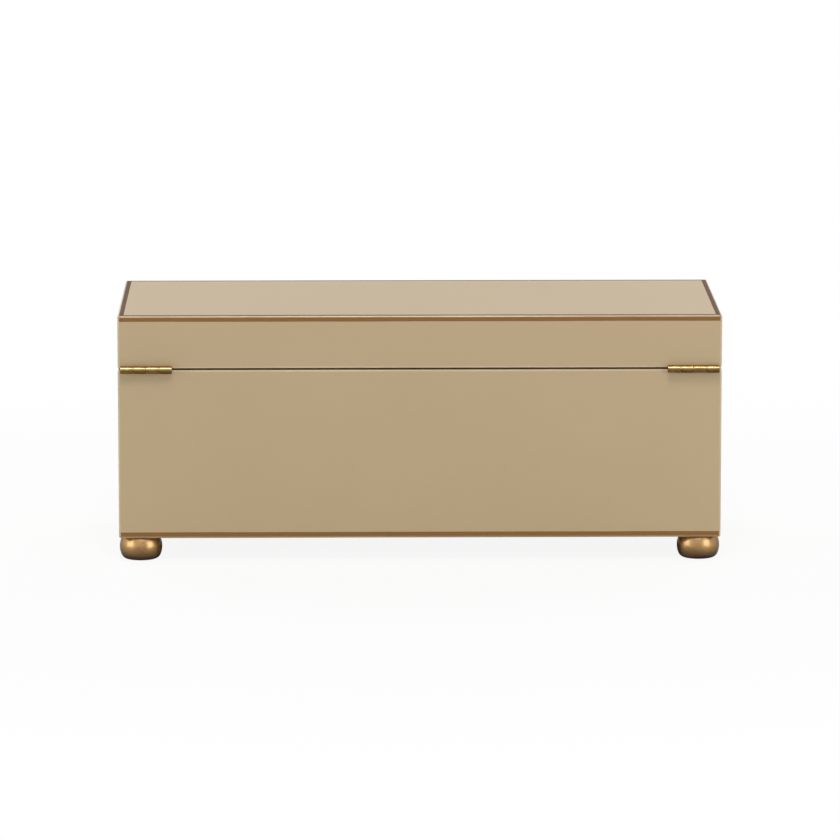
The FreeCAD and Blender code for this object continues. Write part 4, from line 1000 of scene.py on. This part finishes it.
def domed_pin(low, high):
    """A round pin along X between two corners, with domed ends."""
    pin = bmesh.new()
    radius = (high.y - low.y) / 2
    bmesh.ops.create_cone(pin, cap_ends=True, segments=32, radius1=radius, radius2=radius,
                          depth=high.x - low.x)
    soften(pin, PIN_END_ROUND, segments=4)
    pin.transform(Matrix.Translation((low + high) / 2) @ Matrix.Rotation(math.radians(90), 4, "Y"))
    return pin


print("a pin's ends are rounded by", in_mm(PIN_END_ROUND))

# %% Put the hinges together
for side in ("left", "right"):
    pin = f"{side}_hinge_pin"
    knuckle_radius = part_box(f"{side}_hinge_case_leaf")[1].y - middle(pin).y
    for body in ("case", "lid"):
        node = f"{side}_hinge_{body}_leaf"
        leaf = softened_leaf(node, middle(pin), knuckle_radius)
        piece = make_piece(f"softened_{node}", leaf, brass_sheet, body, node)
        piece.modifiers.new("even_shading", "WEIGHTED_NORMAL").keep_sharp = True
    make_piece(f"domed_{pin}", domed_pin(*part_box(pin)), brass_sheet, "case", pin)

# %% [markdown]
# ## Felt dots
#
# Two felt dots on the front corners of the rim keep the lid off the lacquer. Felt is punched from sheet,
# so its sides are straight, but its edges go soft. A disc is made with rings of faces, so that its flat
# is evenly divided, and is given its thickness and a small round on its edges. The fibres are in the
# material.

# %% Punch the felt dots
FELT_EDGE_ROUND = 0.15 * MM
FELT_RINGS = (0.8, 0.55, 0.3)  # of the dot's radius


def felt_dot(radius, height):
    """A punched disc of felt that stands on the origin."""
    dot = bmesh.new()
    bmesh.ops.create_circle(dot, cap_ends=False, segments=48, radius=radius)
    rim = dot.edges[:]
    for share in FELT_RINGS:
        ring = bmesh.ops.extrude_edge_only(dot, edges=rim)["geom"]
        verts = [item for item in ring if isinstance(item, bmesh.types.BMVert)]
        edges = [item for item in ring if isinstance(item, bmesh.types.BMEdge)]
        shrink = share * radius / verts[0].co.length
        bmesh.ops.scale(dot, verts=verts, vec=(shrink, shrink, shrink))
        rim = [edge for edge in edges if all(vert in verts for vert in edge.verts)]
    bmesh.ops.contextual_create(dot, geom=rim)
    bmesh.ops.solidify(dot, geom=dot.faces, thickness=-height)
    bmesh.ops.recalc_face_normals(dot, faces=dot.faces)
    soften(dot, FELT_EDGE_ROUND)
    return dot


low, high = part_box("lid_bumpers")
radius = (high.y - low.y) / 2
dots = bmesh.new()
for sign in (-1, 1):
    at = Matrix.Translation((sign * (high.x - radius), low.y + radius, low.z))
    add_copy(dots, felt_dot(radius, high.z - low.z), at)
make_piece("felt_dots", dots, felt, "case", "lid_bumpers")

# %% [markdown]
# ## The studio
#
# The box stands on a wide pale floor. Two low square lamps at the camera's sides light the back and the
# ends, and give the brass its pair of bright spots. A stronger one higher up lights the lid, and two
# more stand beyond the box, so that its front isn't dark when it is seen from there. The world is full
# white to the eye and in reflections, and lights the box only gently, so each colour renders about as it
# is written.
#
# Paper that is lit no more than this looks a little grey. So what the eye and the metal see of the floor
# is mostly a glow, which lights nothing. Near the box the eye still sees a share of the lit paper, with
# the soft shadow that makes the box stand on something, and the metal sees only the paper.

# %% Lay the floor
FLOOR_SIZE = 40.0
NEAR_GLOW = 0.9  # how much of the floor that the eye sees is glow, near the box
SHADOW_REACH = 0.6


def add_floor():
    """A large plain plane under the feet."""
    sheet = bmesh.new()
    bmesh.ops.create_grid(sheet, x_segments=1, y_segments=1, size=FLOOR_SIZE / 2)
    floor = make_object("floor", sheet)
    material, tree, place = new_material("white_studio_floor")
    away = add(tree, "ShaderNodeVectorMath", {0: place}, operation="LENGTH").outputs["Value"]
    ray = add(tree, "ShaderNodeLightPath").outputs
    mirrored = calculate(tree, "MAXIMUM", ray["Is Glossy Ray"], ray["Is Transmission Ray"])
    eye_share = sloped(tree, away, SHADOW_REACH / 2, SHADOW_REACH, NEAR_GLOW, 1.0)
    metal_share = sloped(tree, away, SHADOW_REACH / 2, SHADOW_REACH, 0.0, 1.0)
    to_eye = calculate(tree, "MULTIPLY", ray["Is Camera Ray"], eye_share)
    to_metal = calculate(tree, "MULTIPLY", mirrored, metal_share)
    share = calculate(tree, "MAXIMUM", to_eye, to_metal)
    paper = add(tree, "ShaderNodeBsdfDiffuse", {"Color": linear("#F4F4F4")})
    glow = add(tree, "ShaderNodeEmission", {"Color": linear("#FFFFFF"), "Strength": 1.0})
    surface = add(tree, "ShaderNodeMixShader", {0: share, 1: paper.outputs[0], 2: glow.outputs[0]})
    add(tree, "ShaderNodeOutputMaterial", {"Surface": surface.outputs[0]})
    floor.data.materials.append(material)


add_floor()
print("the floor is", FLOOR_SIZE, "m wide, and keeps the shadow within", SHADOW_REACH, "m")

# %% Light the studio
WORLD_LIGHT = 0.22
LAMP_AIM = Vector((0, 0, 0.06))
LAMPS = {  # degrees round from the camera's side, degrees up, metres away, metres wide, and watts
    "softbox_left": (64, 8, 1.6, 1.0, 8.8),
    "softbox_right": (-48, 8, 1.6, 0.9, 8.8),
    "softbox_above": (0, 58, 2.6, 0.87, 23),
    "softbox_far_left": (145, 33, 1.8, 1.2, 10),
    "softbox_far_right": (-145, 33, 1.8, 1.2, 10),
}


def light_world():
    """A white surround: full white to the eye and in reflections, and gentler as light."""
    world = bpy.data.worlds.new("white_surround")
    world.use_nodes = True
    tree = world.node_tree
    tree.nodes.clear()
    ray = add(tree, "ShaderNodeLightPath").outputs
    mirrored = calculate(tree, "MAXIMUM", ray["Is Glossy Ray"], ray["Is Transmission Ray"])
    seen = calculate(tree, "MAXIMUM", ray["Is Camera Ray"], mirrored)
    strength = sloped(tree, seen, 0.0, 1.0, WORLD_LIGHT, 1.0)
    sky = add(tree, "ShaderNodeBackground", {"Color": linear("#FFFFFF"), "Strength": strength})
    add(tree, "ShaderNodeOutputWorld", {"Surface": sky.outputs[0]})
    bpy.context.scene.world = world


def add_lamp(name, azimuth, elevation, distance, size, power):
    """A square soft lamp that faces the box."""
    lamp = bpy.data.lights.new(name, "AREA")
    lamp.shape = "SQUARE"
    lamp.size = size
    lamp.energy = power
    lamp_object = bpy.data.objects.new(name, lamp)
    bpy.context.scene.collection.objects.link(lamp_object)
    azimuth, elevation = math.radians(azimuth), math.radians(elevation)
    level = distance * math.cos(elevation)
    height = distance * math.sin(elevation)
    towards = Vector((level * math.sin(azimuth), level * math.cos(azimuth), height))
    lamp_object.location = LAMP_AIM + towards
    lamp_object.rotation_euler = (-towards).to_track_quat("-Z", "Y").to_euler()


light_world()
for name, place_and_power in LAMPS.items():
    add_lamp(name, *place_and_power)
bpy.context.scene.view_settings.view_transform = "Standard"
print(len(LAMPS), "lamps of", sum(power for *_, power in LAMPS.values()), "watts together")
